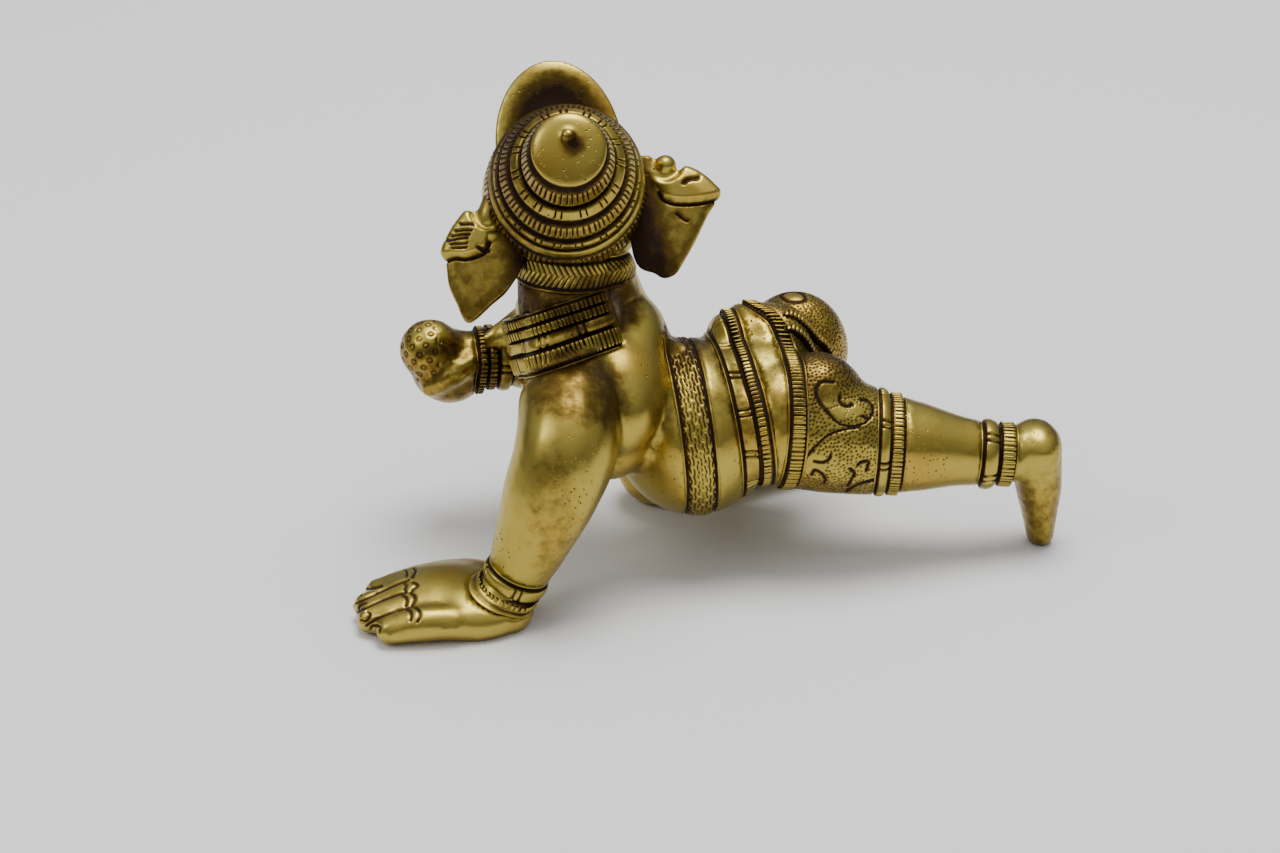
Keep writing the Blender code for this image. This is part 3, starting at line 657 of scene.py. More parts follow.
def arrow_cuts(places, around, length):
    """Close cuts that meet in arrowheads along the band's middle."""
    pitch = length / round(length / ARROW_PITCH)
    phase = (around[None] / pitch + ARROW_SLOPE * np.abs(places[:, None]) / pitch) % 1
    return np.exp(-((phase - 0.5) / ARROW_SHARE) ** 2)


tick_spots = []
bands = []
for name, centre, axis, strips in BANDS:
    fit = FITS.get(name, PLAIN_FIT)
    centre, axis = Vector(centre), Vector(axis).normalized()
    low, high = strips[0][0] - BAND_MARGIN, strips[-1][1] + BAND_MARGIN
    places = np.arange(low, high + ROW_STEP / 2, ROW_STEP)
    rough = laid_round(centre, axis, [(low + high) / 2], 90, fit)[0]
    steps = int(2 * np.pi * rough.mean() / COLUMN_STEP)
    out, ways, shift = laid_round(centre, axis, places, steps, fit)
    out = blurred(out, 3, 3)
    middle = out[len(places) // 2][:, None] * ways
    around = np.concatenate(([0], np.cumsum(np.linalg.norm(np.diff(middle, axis=0), axis=1))))
    length = around[-1] + np.linalg.norm(middle[0] - middle[-1])
    lift, top = (np.repeat(values[:, None], steps, axis=1) for values in bed(places, strips))
    for begin, end, height, kind in strips:
        rows = (places > begin - 0.1) & (places < end + 0.1)
        if kind == "pairs":
            lift[rows] -= PAIR_DEPTH * pair_cuts(around, length)[None]
        elif kind == "waves":
            lift[rows] -= WAVE_DEPTH * wave_cuts(places[rows], around, length, begin, end)
        elif kind == "arrows":
            lift[rows] -= ARROW_DEPTH * arrow_cuts(places[rows], around, length)
        elif kind == "ticks":
            lift[rows] = np.minimum(lift[rows], height - TICK_HEIGHT * 0.8)
            count = round(length / TICK_PITCH)
            marks = np.arange(count) * length / count
            marks = np.interp(marks, np.append(around, length), np.arange(steps + 1))
            row = int(np.argmin(np.abs(places - (begin + end) / 2)))
            for mark in marks:
                column = int(mark) % steps
                way = Vector(ways[column])
                spot = (centre + axis * (places[row] + shift[column])
                        + way * (out[row, column] + height - TICK_HEIGHT))
                tick_spots.append((spot, way, axis, length / count - TICK_GAP, end - begin, TICK_HEIGHT))
    radii = np.vstack((out[:1] - BAND_SINK, out + lift, out[-1:] - BAND_SINK))
    rows = np.concatenate((places[:1], places, places[-1:]))
    grid = (np.array(centre) + (rows[:, None] + shift[None])[:, :, None] * np.array(axis)
            + radii[:, :, None] * ways[None])
    slope = np.gradient(out, axis=0) / ROW_STEP
    darkening = 0.85 * smooth_step(top - lift, 0.14, 0.42) / (1 + 0.4 * slope ** 2) + 0.04
    darkening = np.vstack((darkening[:1], darkening, darkening[-1:]))
    bands.append((name, grid, darkening, centre, axis, low, high, out, fit))


def under_bands(points):
    """How far the skin is let down beneath each band, so that the band's grooves stay open."""
    down = np.zeros(len(points))
    for _, _, _, centre, axis, low, high, out, (reach, _, _, _, drawn) in bands:
        first, second = across(axis)
        off = points - np.array(centre)
        one, two = off @ np.array(first), off @ np.array(second)
        radius, turn = np.hypot(one, two), np.arctan2(two, one) % (2 * np.pi)
        place = off @ np.array(axis) - shifted(turn, drawn)
        row = np.clip(((place - low) / ROW_STEP).astype(int), 0, len(out) - 1)
        here = out[row, (turn / (2 * np.pi) * out.shape[1]).astype(int) % out.shape[1]]
        near = (np.abs(radius - here) < 1.6) & (here < reach - BAND_SINK - 0.01)
        share = smooth_step(place, low, low + 0.45) * smooth_step(-place, -high, -high + 0.45)
        down = np.maximum(down, share * near)
    return down


# The skin, cut and laid down

# The hand's fingers are only graved lines on a smooth paw, and the cloth's leaves stand clear
# of a punched ground between the hip belt and the hem. Hollows get brown patina and painted
# shade, and the hollow of the neck under the head gets painted shade.

HIP_PLACE, HIP_AXIS, HEM_PLACE, HEM_AXIS = BANDS[1][1], BANDS[1][2], BANDS[3][1], BANDS[3][2]
NECK_PLACE, NECK_AXIS, NECK_HOLLOW = BANDS[7][1], BANDS[7][2], (8.8, 15.0)
PUNCH_GAP, PUNCH_WIDTH, PUNCH_DEPTH = 0.66, 0.2, 0.16
LADDU_RINGS, RING_RADIUS, RING_WIDTH, RING_STRENGTH = 90, 0.55, 0.2, 0.45
# The boxes round the fingers and the fist where the skin is split once, and where it is split again
FINGER_BOXES = (((56, 12, 0), (80, 40, 9)), ((58, 13, 2.5), (80, 40, 9)))
FIST_BOXES = (((48, -30, 29), (64, -10, 48)), ((51, -28, 31.5), (64, -11, 46)))
BAND_BED = 1.15
# How dark each thing makes the skin: hollows by patina and painted shade, the neck by painted shade
HOLLOW_PATINA_AND_SHADE, CUT_TARNISH, DENT_TARNISH, CLOTH_TARNISH, NECK_PAINTED_SHADE = 0.9, 0.9, 0.8, 0.12, 0.2


def past(points, place, axis):
    """How far points lie past a place, along an axis."""
    return (points - np.array(place)) @ np.array(axis)


def in_cloth(points, margin):
    """Which points lie between the hip belt and the hem, or no further out than the margin."""
    first, second = across(Vector(HIP_AXIS).normalized())
    off = points - np.array(HIP_PLACE)
    turn = np.arctan2(off @ np.array(second), off @ np.array(first)) % (2 * np.pi)
    aft = past(points, HIP_PLACE, HIP_AXIS) - shifted(turn, FITS["hip_belt"][4])
    return (aft > 0.6 - margin) & (past(points, HEM_PLACE, HEM_AXIS) < margin - 1.8) & (points[:, 2] > 13)


def tree_of_points(points):
    """A search tree for the nearest of some points."""
    tree = KDTree(len(points))
    for i, point in enumerate(points):
        tree.insert(point, i)
    tree.balance()
    return tree


def punch(points, gap, draw):
    """How far each point is from the nearest punch mark, the marks at random but a gap apart."""
    tree, free, marks = tree_of_points(points), np.ones(len(points), bool), []
    for i in draw.permutation(len(points)):
        if free[i]:
            marks.append(points[i])
            for _, j, _ in tree.find_range(points[i], gap):
                free[j] = False
    tree = tree_of_points(marks)
    return np.array([tree.find(point)[2] for point in points])


def in_box(points, low, high):
    return np.all((points > np.array(low)) & (points < np.array(high)), axis=1)


def punched_side(points):
    """The left and the top of the figure, where the cloth's ground is punched."""
    return (points[:, 1] > 6) | (points[:, 2] > 36)


finer(skin, (
    lambda p: in_cloth(p, 1.2) | in_box(p, *FINGER_BOXES[0]) | in_box(p, *FIST_BOXES[0]),
    lambda p: (in_cloth(p, 0.7) & punched_side(p)) | in_box(p, *FINGER_BOXES[1]) | in_box(p, *FIST_BOXES[1]),
))
points = rows_of(skin)
relaxed(skin, in_cloth(points, 1.5) | (points[:, 0] > 53), 6)
points, normals = rows_of(skin), rows_of(skin, "normal")
flat, eye = on_sheet(points)
facing = (normals * eye).sum(1)
hand = points[:, 0] > 54
cloth = in_cloth(points, 0.0)
cut = engraved(flat, facing, HAND_LINES) * (hand & (points[:, 1] > 8))
cut = np.maximum(cut, engraved(flat, facing, LEAF_LINES) * cloth)
clear = np.zeros(len(points))
for (x, y), (wide, tall) in LEAF_CLEAR:
    share = ((flat[:, 0] - x) / wide) ** 2 + ((flat[:, 1] - y) / tall) ** 2
    clear = np.maximum(clear, smooth_step(-share, -1.15, -0.85))
ground = np.flatnonzero(cloth & punched_side(points) & ((clear < 0.5) | (facing < 0)))
dents = np.zeros(len(points))
away = punch(points[ground], PUNCH_GAP, np.random.default_rng(7))
dents[ground] = np.exp(-(away / PUNCH_WIDTH) ** 2)
# The laddu is stamped all over with little rings
off = points - np.array(LADDU[0])
ball = (np.abs(np.linalg.norm(off, axis=1) - LADDU[1]) < 0.9) & hand
spread = np.arange(LADDU_RINGS) + 0.5
lift = 1 - 2 * spread / LADDU_RINGS
rings = np.stack((np.sqrt(1 - lift ** 2) * np.cos(spread * GOLDEN_ANGLE),
                  np.sqrt(1 - lift ** 2) * np.sin(spread * GOLDEN_ANGLE), lift), axis=1) * LADDU[1]
away = np.sqrt(((off[ball][:, None] - rings[None]) ** 2).sum(2)).min(1)
cut[ball] = np.maximum(cut[ball], RING_STRENGTH * np.exp(-((away - RING_RADIUS) / RING_WIDTH) ** 2))
hollow = hollowness(skin_tree, points, normals)
up_neck = past(points, NECK_PLACE, NECK_AXIS)
painted_neck_shade = (smooth_step(up_neck, NECK_HOLLOW[0] - 1, NECK_HOLLOW[0]) * (up_neck < NECK_HOLLOW[1] + 3)
        * smooth_step(points[:, 0], 14, 19) * (points[:, 1] > -14))
# Hollows hold brown patina and also get painted shade, and the neck under the head gets painted shade
tarnish = np.clip(hollow * HOLLOW_PATINA_AND_SHADE + cut * CUT_TARNISH + DENT_TARNISH * dents
                  + CLOTH_TARNISH * cloth + NECK_PAINTED_SHADE * painted_neck_shade, 0, 1)
points -= normals * (cut * LINE_DEPTH + dents * PUNCH_DEPTH + BAND_BED * under_bands(points))[:, None]
points[:, 2] = np.maximum(points[:, 2], 0.02)
moved(skin, points)
finish_piece("statue_skin", skin, tarnish)

for name, grid, darkening, *_ in bands:
    finish_piece(name, mesh_of(name, grid, True), darkening.ravel())


# Pleat

# Two folds of the cloth's pleat run back over the seat, on the line between the buttocks. They
# are cast with it and cut across like the belts.

PLEAT_HUB, PLEAT_TURNS = (-13.5, -1.4, 32.0), (math.radians(97), math.radians(160))
PLEAT_SPACING, PLEAT_HALF_WIDTH, PLEAT_RISE, PLEAT_SIDES = 3.4, 1.35, 0.95, 14
for number, side in enumerate((-0.5, 0.5)):
    line = []
    for angle in np.linspace(*PLEAT_TURNS, 220):
        start = Vector(PLEAT_HUB) + Vector((0, side * PLEAT_SPACING, 0))
        line.append(skin_tree.ray_cast(start, Vector((math.cos(angle), 0, math.sin(angle))))[0])
    line = np.array(line)
    for _ in range(30):
        line[1:-1] = (line[:-2] + 2 * line[1:-1] + line[2:]) / 4
    ahead = np.gradient(line, axis=0)
    ahead /= np.linalg.norm(ahead, axis=1)[:, None]
    left = np.array((0.0, 1.0, 0.0))
    rise = np.cross(ahead, left)
    rise /= np.linalg.norm(rise, axis=1)[:, None]
    wide = left - ahead * ahead[:, 1:2]
    rise *= np.sign((rise * (line - np.array(PLEAT_HUB))).sum(1))[:, None]
    run = np.concatenate(([0], np.cumsum(np.linalg.norm(np.diff(line, axis=0), axis=1))))
    notch = np.exp(-((run % TICK_PITCH - TICK_PITCH / 2) / 0.17) ** 2)
    ease = smooth_step(run, 0, 2) * smooth_step(-run, -run[-1], -run[-1] + 2)
    turns = 2 * np.pi * np.arange(PLEAT_SIDES) / PLEAT_SIDES
    tall = (PLEAT_RISE * ease - 0.35 * notch)[:, None] * np.sin(turns)[None]
    grid = (line[:, None] + wide[:, None] * (PLEAT_HALF_WIDTH * np.cos(turns))[None, :, None]
            + rise[:, None] * np.where(np.sin(turns)[None] > 0, tall, np.sin(turns)[None] * 1.2)[:, :, None])
    darkening = np.clip(0.85 * notch[:, None] + 0.7 * (np.sin(turns) < 0.1)[None], 0.06, 1)
    finish_piece(f"pleat_{number + 1}", mesh_of("pleat", grid, False), darkening.ravel())


# Crown

# A tall crown of seven turned tiers under a low round boss, cast with the head. Ticks and pairs
# of cuts cross the tiers, and the deep grooves between them hold the tarnish.

# Each tier: its place up the axis, its radius, its cuts and the share of it that is groove
CROWN_TIERS = ((22.0, 8.9, "ticks", 0.36), (19.0, 11.1, "pairs", 0.34), (13.5, 13.2, "ticks", 0.38),
               (9.6, 14.3, "pairs", 0.52), (6.6, 15.3, "plain", 0.36), (0.5, 16.1, "ticks", 0.32),
               (-5.0, 16.6, "plain", 0.28))
CROWN_BASE, CROWN_LEAN = -9.0, (math.radians(-2), math.radians(3.4))
TIER_GROOVE, TIER_PROUD = 0.95, 0.28
BOSS_RADIUS, BOSS_PLACE, BOSS_HEIGHT, BOSS_DOME = 7.2, 29.6, 2.9, 1.9
NIPPLE_RADIUS, NIPPLE_AWAY = 1.3, (-0.5, 2.4)
# Where the painted dark reflection on the boss lies, and how far it spreads
DARK_REFLECTION_PLACE, DARK_REFLECTION_SPREAD = (-1.1, 0.4), 1.9
CROWN_STEP, CROWN_SIDES = 0.5, 600
CROWN_PITCH = {"ticks": 1.15, "pairs": 4.6}
CROWN_CUT_WIDTH, CROWN_CUT_DEPTH = 0.15, 0.3


def crown_section():
    """Corners of the turned section from the nipple down: place up the axis, radius, tarnish, tier."""
    tip = BOSS_PLACE + BOSS_HEIGHT
    rows = [(tip, 0.02, 0.0, -1), (tip - 0.12, 0.7, 0.0, -1), (tip - 0.8, NIPPLE_RADIUS, 0.3, -1)]
    for share in (0.3, 0.45, 0.6, 0.75, 0.88, 0.96, 1.0):
        rows.append((BOSS_PLACE + BOSS_DOME * math.sqrt(1 - 0.98 * share ** 2), BOSS_RADIUS * share, 0.0, -1))
    rows.append((BOSS_PLACE - 0.5, BOSS_RADIUS - 0.35, 0.6, -1))
    edge = np.array((BOSS_PLACE - 0.5, BOSS_RADIUS - 0.35))
    for number, (place, radius, _, share) in enumerate(CROWN_TIERS):
        run = np.array((place, radius)) - edge
        out = np.array((run[1], -run[0])) / np.hypot(*run)
        for along, off, dirt, tier in (
                (0.08, -TIER_GROOVE, 1.0, -1), (share - 0.06, -TIER_GROOVE * 0.8, 1.0, -1),
                (share + 0.03, 0.0, 0.6, -1), (share + 0.12, TIER_PROUD, 0.04, number),
                (0.93, TIER_PROUD, 0.0, number), (1.0, 0.0, 0.3, -1)):
            rows.append((*(edge + run * along + out * off), dirt, tier))
        edge = np.array((place - 0.35, radius - 0.5))
    rows.append((CROWN_BASE, edge[1] - 5, 0.3, -1))
    return rows


def crown_cuts(kind, radius, turns, draw):
    """How deep a tier is cut at each turn, the cuts a little uneven as a hand leaves them."""
    if kind == "plain":
        return np.zeros_like(turns)
    count = round(2 * np.pi * radius / CROWN_PITCH[kind])
    cuts = (np.arange(count) + draw.uniform(-0.16, 0.16, count)) * 2 * np.pi / count
    if kind == "pairs":
        cuts = np.concatenate((cuts, cuts + PAIR_SPREAD / radius))
    away = np.abs((turns[:, None] - cuts[None] + np.pi) % (2 * np.pi) - np.pi).min(1) * radius
    return np.exp(-(away / CROWN_CUT_WIDTH) ** 2)


section, rows = crown_section(), []
for one, two in zip(section, section[1:]):
    start, run = np.array(one[:3]), np.array(two[:3]) - np.array(one[:3])
    steps = max(round(math.hypot(run[0], run[1]) / CROWN_STEP), 1)
    tier = one[3] if one[3] == two[3] else -1
    rows += [(*(start + run * share), tier) for share in np.arange(steps) / steps]
rows.append(section[-1])
places, radii, dirt, tiers = (np.array(column) for column in zip(*rows))
turns = 2 * np.pi * np.arange(CROWN_SIDES) / CROWN_SIDES
draw = np.random.default_rng(4)
depth = np.zeros((len(places), CROWN_SIDES))
for number, (_, radius, kind, _) in enumerate(CROWN_TIERS):
    depth[tiers == number] = crown_cuts(kind, radius, turns, draw)
out = radii[:, None] - depth * CROWN_CUT_DEPTH
drop = np.minimum(places - BOSS_PLACE, 0)
dome = 1 - np.clip(radii / BOSS_RADIUS, 0, 1) ** 2
dome[places < BOSS_PLACE] = 0
x = drop * math.tan(CROWN_LEAN[0]) + NIPPLE_AWAY[0] * dome
z = drop * math.tan(CROWN_LEAN[1]) + NIPPLE_AWAY[1] * dome
local = np.stack((x[:, None] + out * np.cos(turns), places[:, None] - depth * CROWN_CUT_DEPTH,
                  z[:, None] + out * np.sin(turns)), axis=-1)
# A painted dark reflection on the boss's face
dark_reflection = np.exp(-((local[..., 0] - DARK_REFLECTION_PLACE[0]) ** 2 + (local[..., 2] - DARK_REFLECTION_PLACE[1]) ** 2)
                / DARK_REFLECTION_SPREAD ** 2) * (local[..., 1] > BOSS_PLACE)
# Painted shade on the tiers below the boss, darkest towards the tiara and towards one side, and a little all
# round
painted_crown_shade = 0.42 * smooth_step(local[..., 2], 4, 13) + 0.25 * smooth_step(local[..., 0], 1, 13) + 0.08
painted_crown_shade *= ((places < BOSS_PLACE) * smooth_step(places, -8, 6))[:, None]
darkening = np.clip(dirt[:, None] * 0.9 + depth * 0.75 + dark_reflection * 0.9 + painted_crown_shade, 0, 1)
matrix = np.array(head)
finish_piece("crown", mesh_of("crown", local @ matrix[:3, :3].T + matrix[:3, 3], False), darkening.ravel())


# Tiara plate

# An arched plate stands up against the crown's front and leans on it. Its back is bare and bright
# on the rim, with painted shade, nearly black, in the corner where it meets the crown.

TIARA_HALF_WIDTH, TIARA_SPRING, TIARA_PEAK, TIARA_SHIFT = 12.6, 6.0, 23.7, 1.0
TIARA_THICKNESS, TIARA_RIM, TIARA_BACK, TIARA_LEAN = 5.0, 3.6, 2.5, math.radians(-6)
TIARA_HOLLOW, RIB_HEIGHT, RIB_PLACES, TIARA_VOXEL, TIARA_SMOOTHING = 0.7, 0.4, (0.84, 0.7), 0.4, 4


def placed(points, frame):
    """The points in a frame's own axes."""
    inverse = np.array(frame.inverted())
    return points @ inverse[:3, :3].T + inverse[:3, 3]


arch = [(TIARA_HALF_WIDTH * math.cos(math.pi * i / 40),
         TIARA_SPRING + (TIARA_PEAK - TIARA_SPRING) * math.sin(math.pi * i / 40)) for i in range(41)]
arch = [(TIARA_HALF_WIDTH - 2, -6.0)] + arch + [(2 - TIARA_HALF_WIDTH, -6.0)]
tiara_place = head @ Matrix.Translation((TIARA_SHIFT, TIARA_BACK, 0)) @ Matrix.Rotation(TIARA_LEAN, 4, "Y")
clay = Clay()
clay.plate(arch, TIARA_RIM, TIARA_THICKNESS, tiara_place)
tiara = clay.melted("tiara", TIARA_VOXEL, TIARA_SMOOTHING)
points, normals = rows_of(tiara), rows_of(tiara, "normal")
local = placed(points, tiara_place)
rise = np.hypot(local[:, 0] / TIARA_HALF_WIDTH,
                np.maximum(local[:, 2] - TIARA_SPRING, 0) / (TIARA_PEAK - TIARA_SPRING))
front = local[:, 1] < 0
ribs = sum(np.exp(-((rise - share) * 14 / 0.35) ** 2) for share in RIB_PLACES)
bowl = smooth_step(-rise, -0.95, -0.5) * ~front
moved(tiara, points - normals * (RIB_HEIGHT * ribs * front + TIARA_HOLLOW * bowl)[:, None])
# Painted shade, nearly black, in the back's corner where the plate meets the crown
corner = smooth_step(-rise, -1.02, -0.5) * ~front
finish_piece("tiara", tiara, np.clip(corner * 0.95 + 0.1 + ribs * front * 0.8, 0, 1))


# Ears

# Two broad ears stand out from the head like plates, each with a knob at its root. Its upper
# lobe is folded over in a thick roll, with a slot and a few strokes of the graver.

EAR_THICKNESS, EAR_RIM, EAR_VOXEL, EAR_SMOOTHING = 3.8, 2.2, 0.26, 9
EAR_PUFF, EAR_LINE_WIDTH, EAR_LINE_DEPTH = 1.2, 0.3, 0.45
LEFT_EAR = ((12.0, -1.0), (19.9, -1.7), (22.6, -3.1), (25.2, -5.5), (27.3, -8.3), (28.1, -12.0),
            (28.4, -15.2), (27.8, -18.5), (27.2, -22.0), (25.6, -22.8), (21.2, -20.5), (16.8, -18.0),
            (12.0, -12.0))
RIGHT_EAR = ((-12.0, 0.0), (-18.0, -0.6), (-21.2, -3.6), (-23.4, -4.7), (-25.2, -6.4), (-26.7, -8.6),
             (-27.6, -11.1), (-24.8, -14.0), (-21.4, -18.1), (-18.2, -21.4), (-15.8, -23.6), (-13.4, -23.9),
             (-11.9, -22.6), (-8.5, -18.0))
# The knobs: centre, half sizes and turn. Then what the graver drew, in the head's own x and z
LEFT_KNOB = ((17.2, -2.6), (2.2, 2.9, 4.3), math.radians(-28))
RIGHT_KNOB = ((-19.2, -2.2), (2.3, 2.9, 2.3), 0.0)
LEFT_FOLD = ((28.6, -10.0), (26.1, -10.0), (24.0, -10.7), (21.7, -10.8), (19.8, -10.3), (18.4, -8.6))
RIGHT_FOLD = ((-28.2, -11.6), (-25.9, -11.7), (-23.4, -11.5), (-20.9, -11.0), (-18.6, -10.2), (-16.9, -8.9),
              (-16.5, -7.2))
LEFT_STROKES = (((25.8, -6.6), (22.5, -6.8)), ((25.7, -7.4), (22.9, -7.8)), ((25.6, -8.2), (23.2, -8.6)),
                ((24.1, -5.1), (21.4, -5.5)), ((25.0, -5.9), (22.0, -6.2)), ((22.9, -4.0), (20.7, -4.7)),
                ((20.9, -8.9), (20.1, -9.7), (19.0, -10.2)), ((20.9, -9.1), (20.1, -9.9), (19.2, -10.3)))
RIGHT_STROKES = (((-21.5, -6.9), (-22.6, -6.5), (-24.6, -6.7)), ((-21.7, -7.1), (-22.8, -6.8), (-24.4, -7.0)),
                 ((-18.9, -12.3), (-19.6, -13.4), (-20.4, -14.2)))


def rounded(outline, steps=6):
    """A closed smooth curve through the outline's corners."""
    corners = [np.array(corner) for corner in outline]
    out = []
    for i in range(len(corners)):
        a, b, c, d = (corners[(i + k) % len(corners)] for k in (-1, 0, 1, 2))
        out += [tuple(on_curve(a, b, c, d, share)) for share in np.arange(steps) / steps]
    return out


for name, outline, (knob, size, lean), fold, strokes in (
        ("left_ear", LEFT_EAR, LEFT_KNOB, LEFT_FOLD, LEFT_STROKES),
        ("right_ear", RIGHT_EAR, RIGHT_KNOB, RIGHT_FOLD, RIGHT_STROKES)):
    clay = Clay()
    clay.plate(rounded(outline), EAR_RIM, EAR_THICKNESS, head)
    knob_place = head @ Matrix.Translation((knob[0], 0, knob[1])) @ Matrix.Rotation(lean, 4, "Y")
    clay.egg((0, 0, 0), size, knob_place)
    ear = clay.melted(name, EAR_VOXEL, EAR_SMOOTHING)
    points, normals = rows_of(ear), rows_of(ear, "normal")
    local = placed(points, head)
    flat, side = local[:, [0, 2]], np.abs(local[:, 0])
    along, height = zip(*sorted((abs(x), z) for x, z in fold))
    above = smooth_step(local[:, 2] - np.interp(side, along, height), 0, 1.8) * smooth_step(side, 14.5, 19.5)
    below_knob = 1 - smooth_step(-np.hypot(flat[:, 0] - knob[0], flat[:, 1] - knob[1]), -4.2, -2.6)
    cut = engraved(flat, np.ones(len(flat)), (fold, *strokes), EAR_LINE_WIDTH)
    moved(ear, points + normals * (EAR_PUFF * above * below_knob - cut * EAR_LINE_DEPTH)[:, None])
    # Painted shade near the ear's root at the head, stronger on one face
    root = smooth_step(-side, -18, -12.5) * np.where(local[:, 1] > 0, 1.0, 0.3)
    finish_piece(name, ear, np.clip(cut * 0.8 + root * 0.6 + 0.3 - 0.22 * above, 0, 1))


# Ticks

# Between the close cuts of a ticked band the metal is left standing as a row of small pads, all
# part of the casting.

PAD_CREASE, PAD_TARNISH = 0.55, 0.95


def pad_tree():
    """Sets a small rounded pad on each point, turned and sized by the point's own values."""
    tree = bpy.data.node_groups.new("pads_along_a_band", "GeometryNodeTree")
    for name, way, kind in (("Geometry", "INPUT", "Geometry"), ("Pad Crease", "INPUT", "Float"),
                            ("Pad Tarnish", "INPUT", "Float"), ("Brass", "INPUT", "Material"),
                            ("Geometry", "OUTPUT", "Geometry")):
        tree.interface.new_socket(name, in_out=way, socket_type="NodeSocket" + kind)
    given = add_node(tree, "NodeGroupInput").outputs
    cube = add_node(tree, "GeometryNodeMeshCube", (("Size", (1.0, 1.0, 2.0)),))
    pad = add_node(tree, "GeometryNodeSubdivisionSurface", (
        ("Mesh", cube.outputs["Mesh"]), ("Level", 2), ("Edge Crease", given["Pad Crease"])))
    place = add_node(tree, "GeometryNodeInputPosition")
    high = add_node(tree, "ShaderNodeSeparateXYZ", (("Vector", place.outputs[0]),))
    darkening = add_node(tree, "ShaderNodeMapRange", (
        ("Value", high.outputs["Z"]), ("From Min", 0.3), ("From Max", 0.85),
        ("To Min", given["Pad Tarnish"]), ("To Max", 0.05)))
    dirty = add_node(tree, "GeometryNodeStoreNamedAttribute", (
        ("Geometry", pad.outputs[0]), ("Name", "tarnish"), ("Value", darkening.outputs["Result"])),
        data_type="FLOAT", domain="POINT")
    out, along, size = (add_node(tree, "GeometryNodeInputNamedAttribute", (
        ("Name", key),), data_type="FLOAT_VECTOR").outputs[0] for key in ("out", "along", "size"))
    up = add_node(tree, "FunctionNodeAlignRotationToVector", (("Vector", out),), axis="Z")
    turn = add_node(tree, "FunctionNodeAlignRotationToVector", (
        ("Rotation", up.outputs[0]), ("Vector", along)), axis="Y", pivot_axis="Z")
    set_down = add_node(tree, "GeometryNodeInstanceOnPoints", (
        ("Points", given["Geometry"]), ("Instance", dirty.outputs[0]), ("Rotation", turn.outputs[0]),
        ("Scale", size)))
    real = add_node(tree, "GeometryNodeRealizeInstances", (("Geometry", set_down.outputs[0]),))
    shiny = add_node(tree, "GeometryNodeSetMaterial", (
        ("Geometry", real.outputs[0]), ("Material", given["Brass"])))
    add_node(tree, "NodeGroupOutput", (("Geometry", shiny.outputs[0]),))
    return tree


spots = bpy.data.meshes.new("pads")
spots.from_pydata([tuple(spot[0]) for spot in tick_spots], [], [])
for key, values in (("out", [spot[1] for spot in tick_spots]), ("along", [spot[2] for spot in tick_spots]),
                    ("size", [spot[3:6] for spot in tick_spots])):
    layer = spots.attributes.new(key, "FLOAT_VECTOR", "POINT")
    layer.data.foreach_set("vector", np.array([tuple(value) for value in values]).ravel())
holder = set_out("pads", spots)
pads = holder.modifiers.new("pads", "NODES")
pads.node_group = pad_tree()
items = pads.node_group.interface.items_tree
sockets = {item.name: item.identifier for item in items if item.in_out == "INPUT"}
for name, value in (("Pad Crease", PAD_CREASE), ("Pad Tarnish", PAD_TARNISH), ("Brass", brass)):
    pads[sockets[name]] = value
made = turned_to_mesh(holder)
values = np.empty(len(made.vertices))
made.attributes["tarnish"].data.foreach_get("value", values)
for key in ("tarnish", "out", "along", "size"):
    if key in made.attributes:
        made.attributes.remove(made.attributes[key])
finish_piece("ticks", made, values)


# Face

# Small almond eyes lie under the brow, and two tusks leave the cheeks, the left one broken
# short as custom has it. They are cast with the head.

TUSKS = (((-5.4, 12.0, -6.0), (-8.4, 18.5, -9.0), 1.9), ((5.4, 12.0, -6.0), (7.2, 15.5, -8.0), 1.9))
EYES = ((6.4, 12.8, 1.4), (2.7, 1.5, 1.3))
FACE_VOXEL, FACE_SMOOTHING, FACE_TARNISH = 0.25, 3, 0.15
clay = Clay()
for root, tip, radius in TUSKS:
    clay.limb(((root, radius), (tip, radius * 0.6)), face)
for side in (-1, 1):
    clay.egg((side * EYES[0][0], *EYES[0][1:]), EYES[1], face)
features = clay.melted("features", FACE_VOXEL, FACE_SMOOTHING)
finish_piece("eyes_and_tusks", features, np.full(len(features.vertices), FACE_TARNISH))


# Studio

# A plain pale table top under soft light: a broad lamp overhead, a smaller and weaker window
# from the upper left, and grey walls for the brass to reflect.

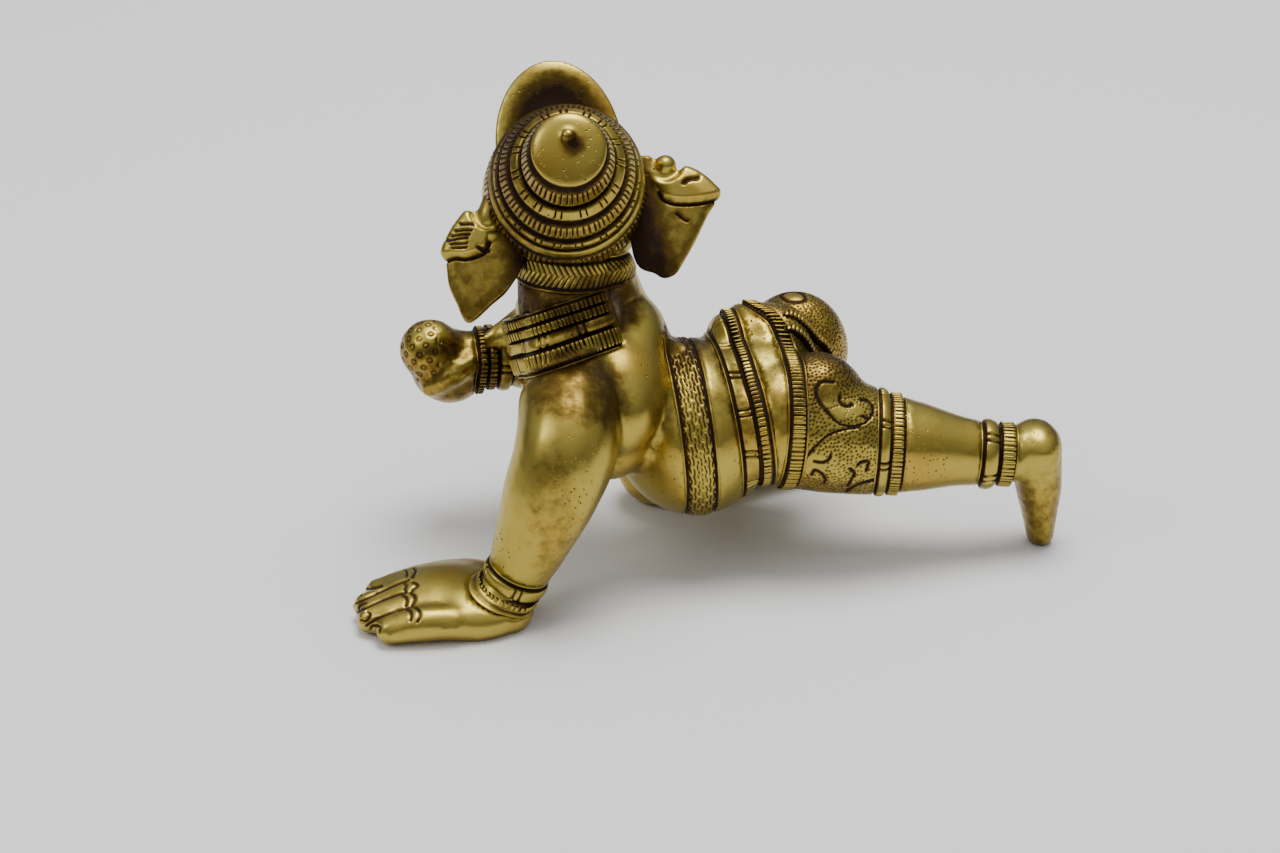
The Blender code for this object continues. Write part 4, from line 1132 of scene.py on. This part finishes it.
def area_light(name, place, aim, size, power):
    """A round white lamp at a place, turned to what it lights."""
    lamp = bpy.data.lights.new(name, "AREA")
    lamp.shape, lamp.size, lamp.energy = "DISK", size, power
    stand = set_out(name, lamp)
    stand.location = place
    stand.rotation_euler = (Vector(aim) - Vector(place)).to_track_quat("-Z", "Y").to_euler()


floor_mesh = bpy.data.meshes.new("table_top")
floor_mesh.from_pydata([(-4, -4, 0), (4, -4, 0), (4, 4, 0), (-4, 4, 0)], [], [(0, 1, 2, 3)])
paper = bpy.data.materials.new("pale_paper")
paper.use_nodes = True
sheen = paper.node_tree.nodes["Principled BSDF"].inputs
sheen["Base Color"].default_value, sheen["Roughness"].default_value = linear("#EEEDEC"), 0.8
floor_mesh.materials.append(paper)
floor = set_out("table_top", floor_mesh)

world = bpy.data.worlds.new("studio_walls")
world.use_nodes = True
tree = world.node_tree
way = add_node(tree, "ShaderNodeTexCoord").outputs["Generated"]
high = add_node(tree, "ShaderNodeSeparateXYZ", (("Vector", way),)).outputs["Z"]
glow = add_node(tree, "ShaderNodeMapRange", (
    ("Value", high), ("From Min", 0.05), ("From Max", 0.95), ("To Min", 0.1), ("To Max", 1.6)))
tree.nodes["Background"].inputs["Color"].default_value = linear("#C0C1C4")
tree.links.new(glow.outputs["Result"], tree.nodes["Background"].inputs["Strength"])
bpy.context.scene.world = world
area_light("ceiling", (-0.1, -0.15, 1.1), (-0.05, 0.0, 0.0), 0.7, 11.5)
area_light("window", (0.75, 0.2, 0.7), (0.0, 0.0, 0.03), 0.4, 1.6)

CAMERA_AIM, CAMERA_REACH = (13.45, 4.79, 30.25), 640.0
back = Vector(SHEET_BACK)
lens = bpy.data.cameras.new("camera")
lens.sensor_width, lens.lens, lens.clip_start = 36.0, 36.0 * SHEET_REACH / 1280, 0.01
camera = set_out("camera", lens)
camera.location = (Vector(CAMERA_AIM) + back * CAMERA_REACH) * MM
camera.rotation_euler = (-back).to_track_quat("-Z", "Y").to_euler()
bpy.context.scene.camera = camera
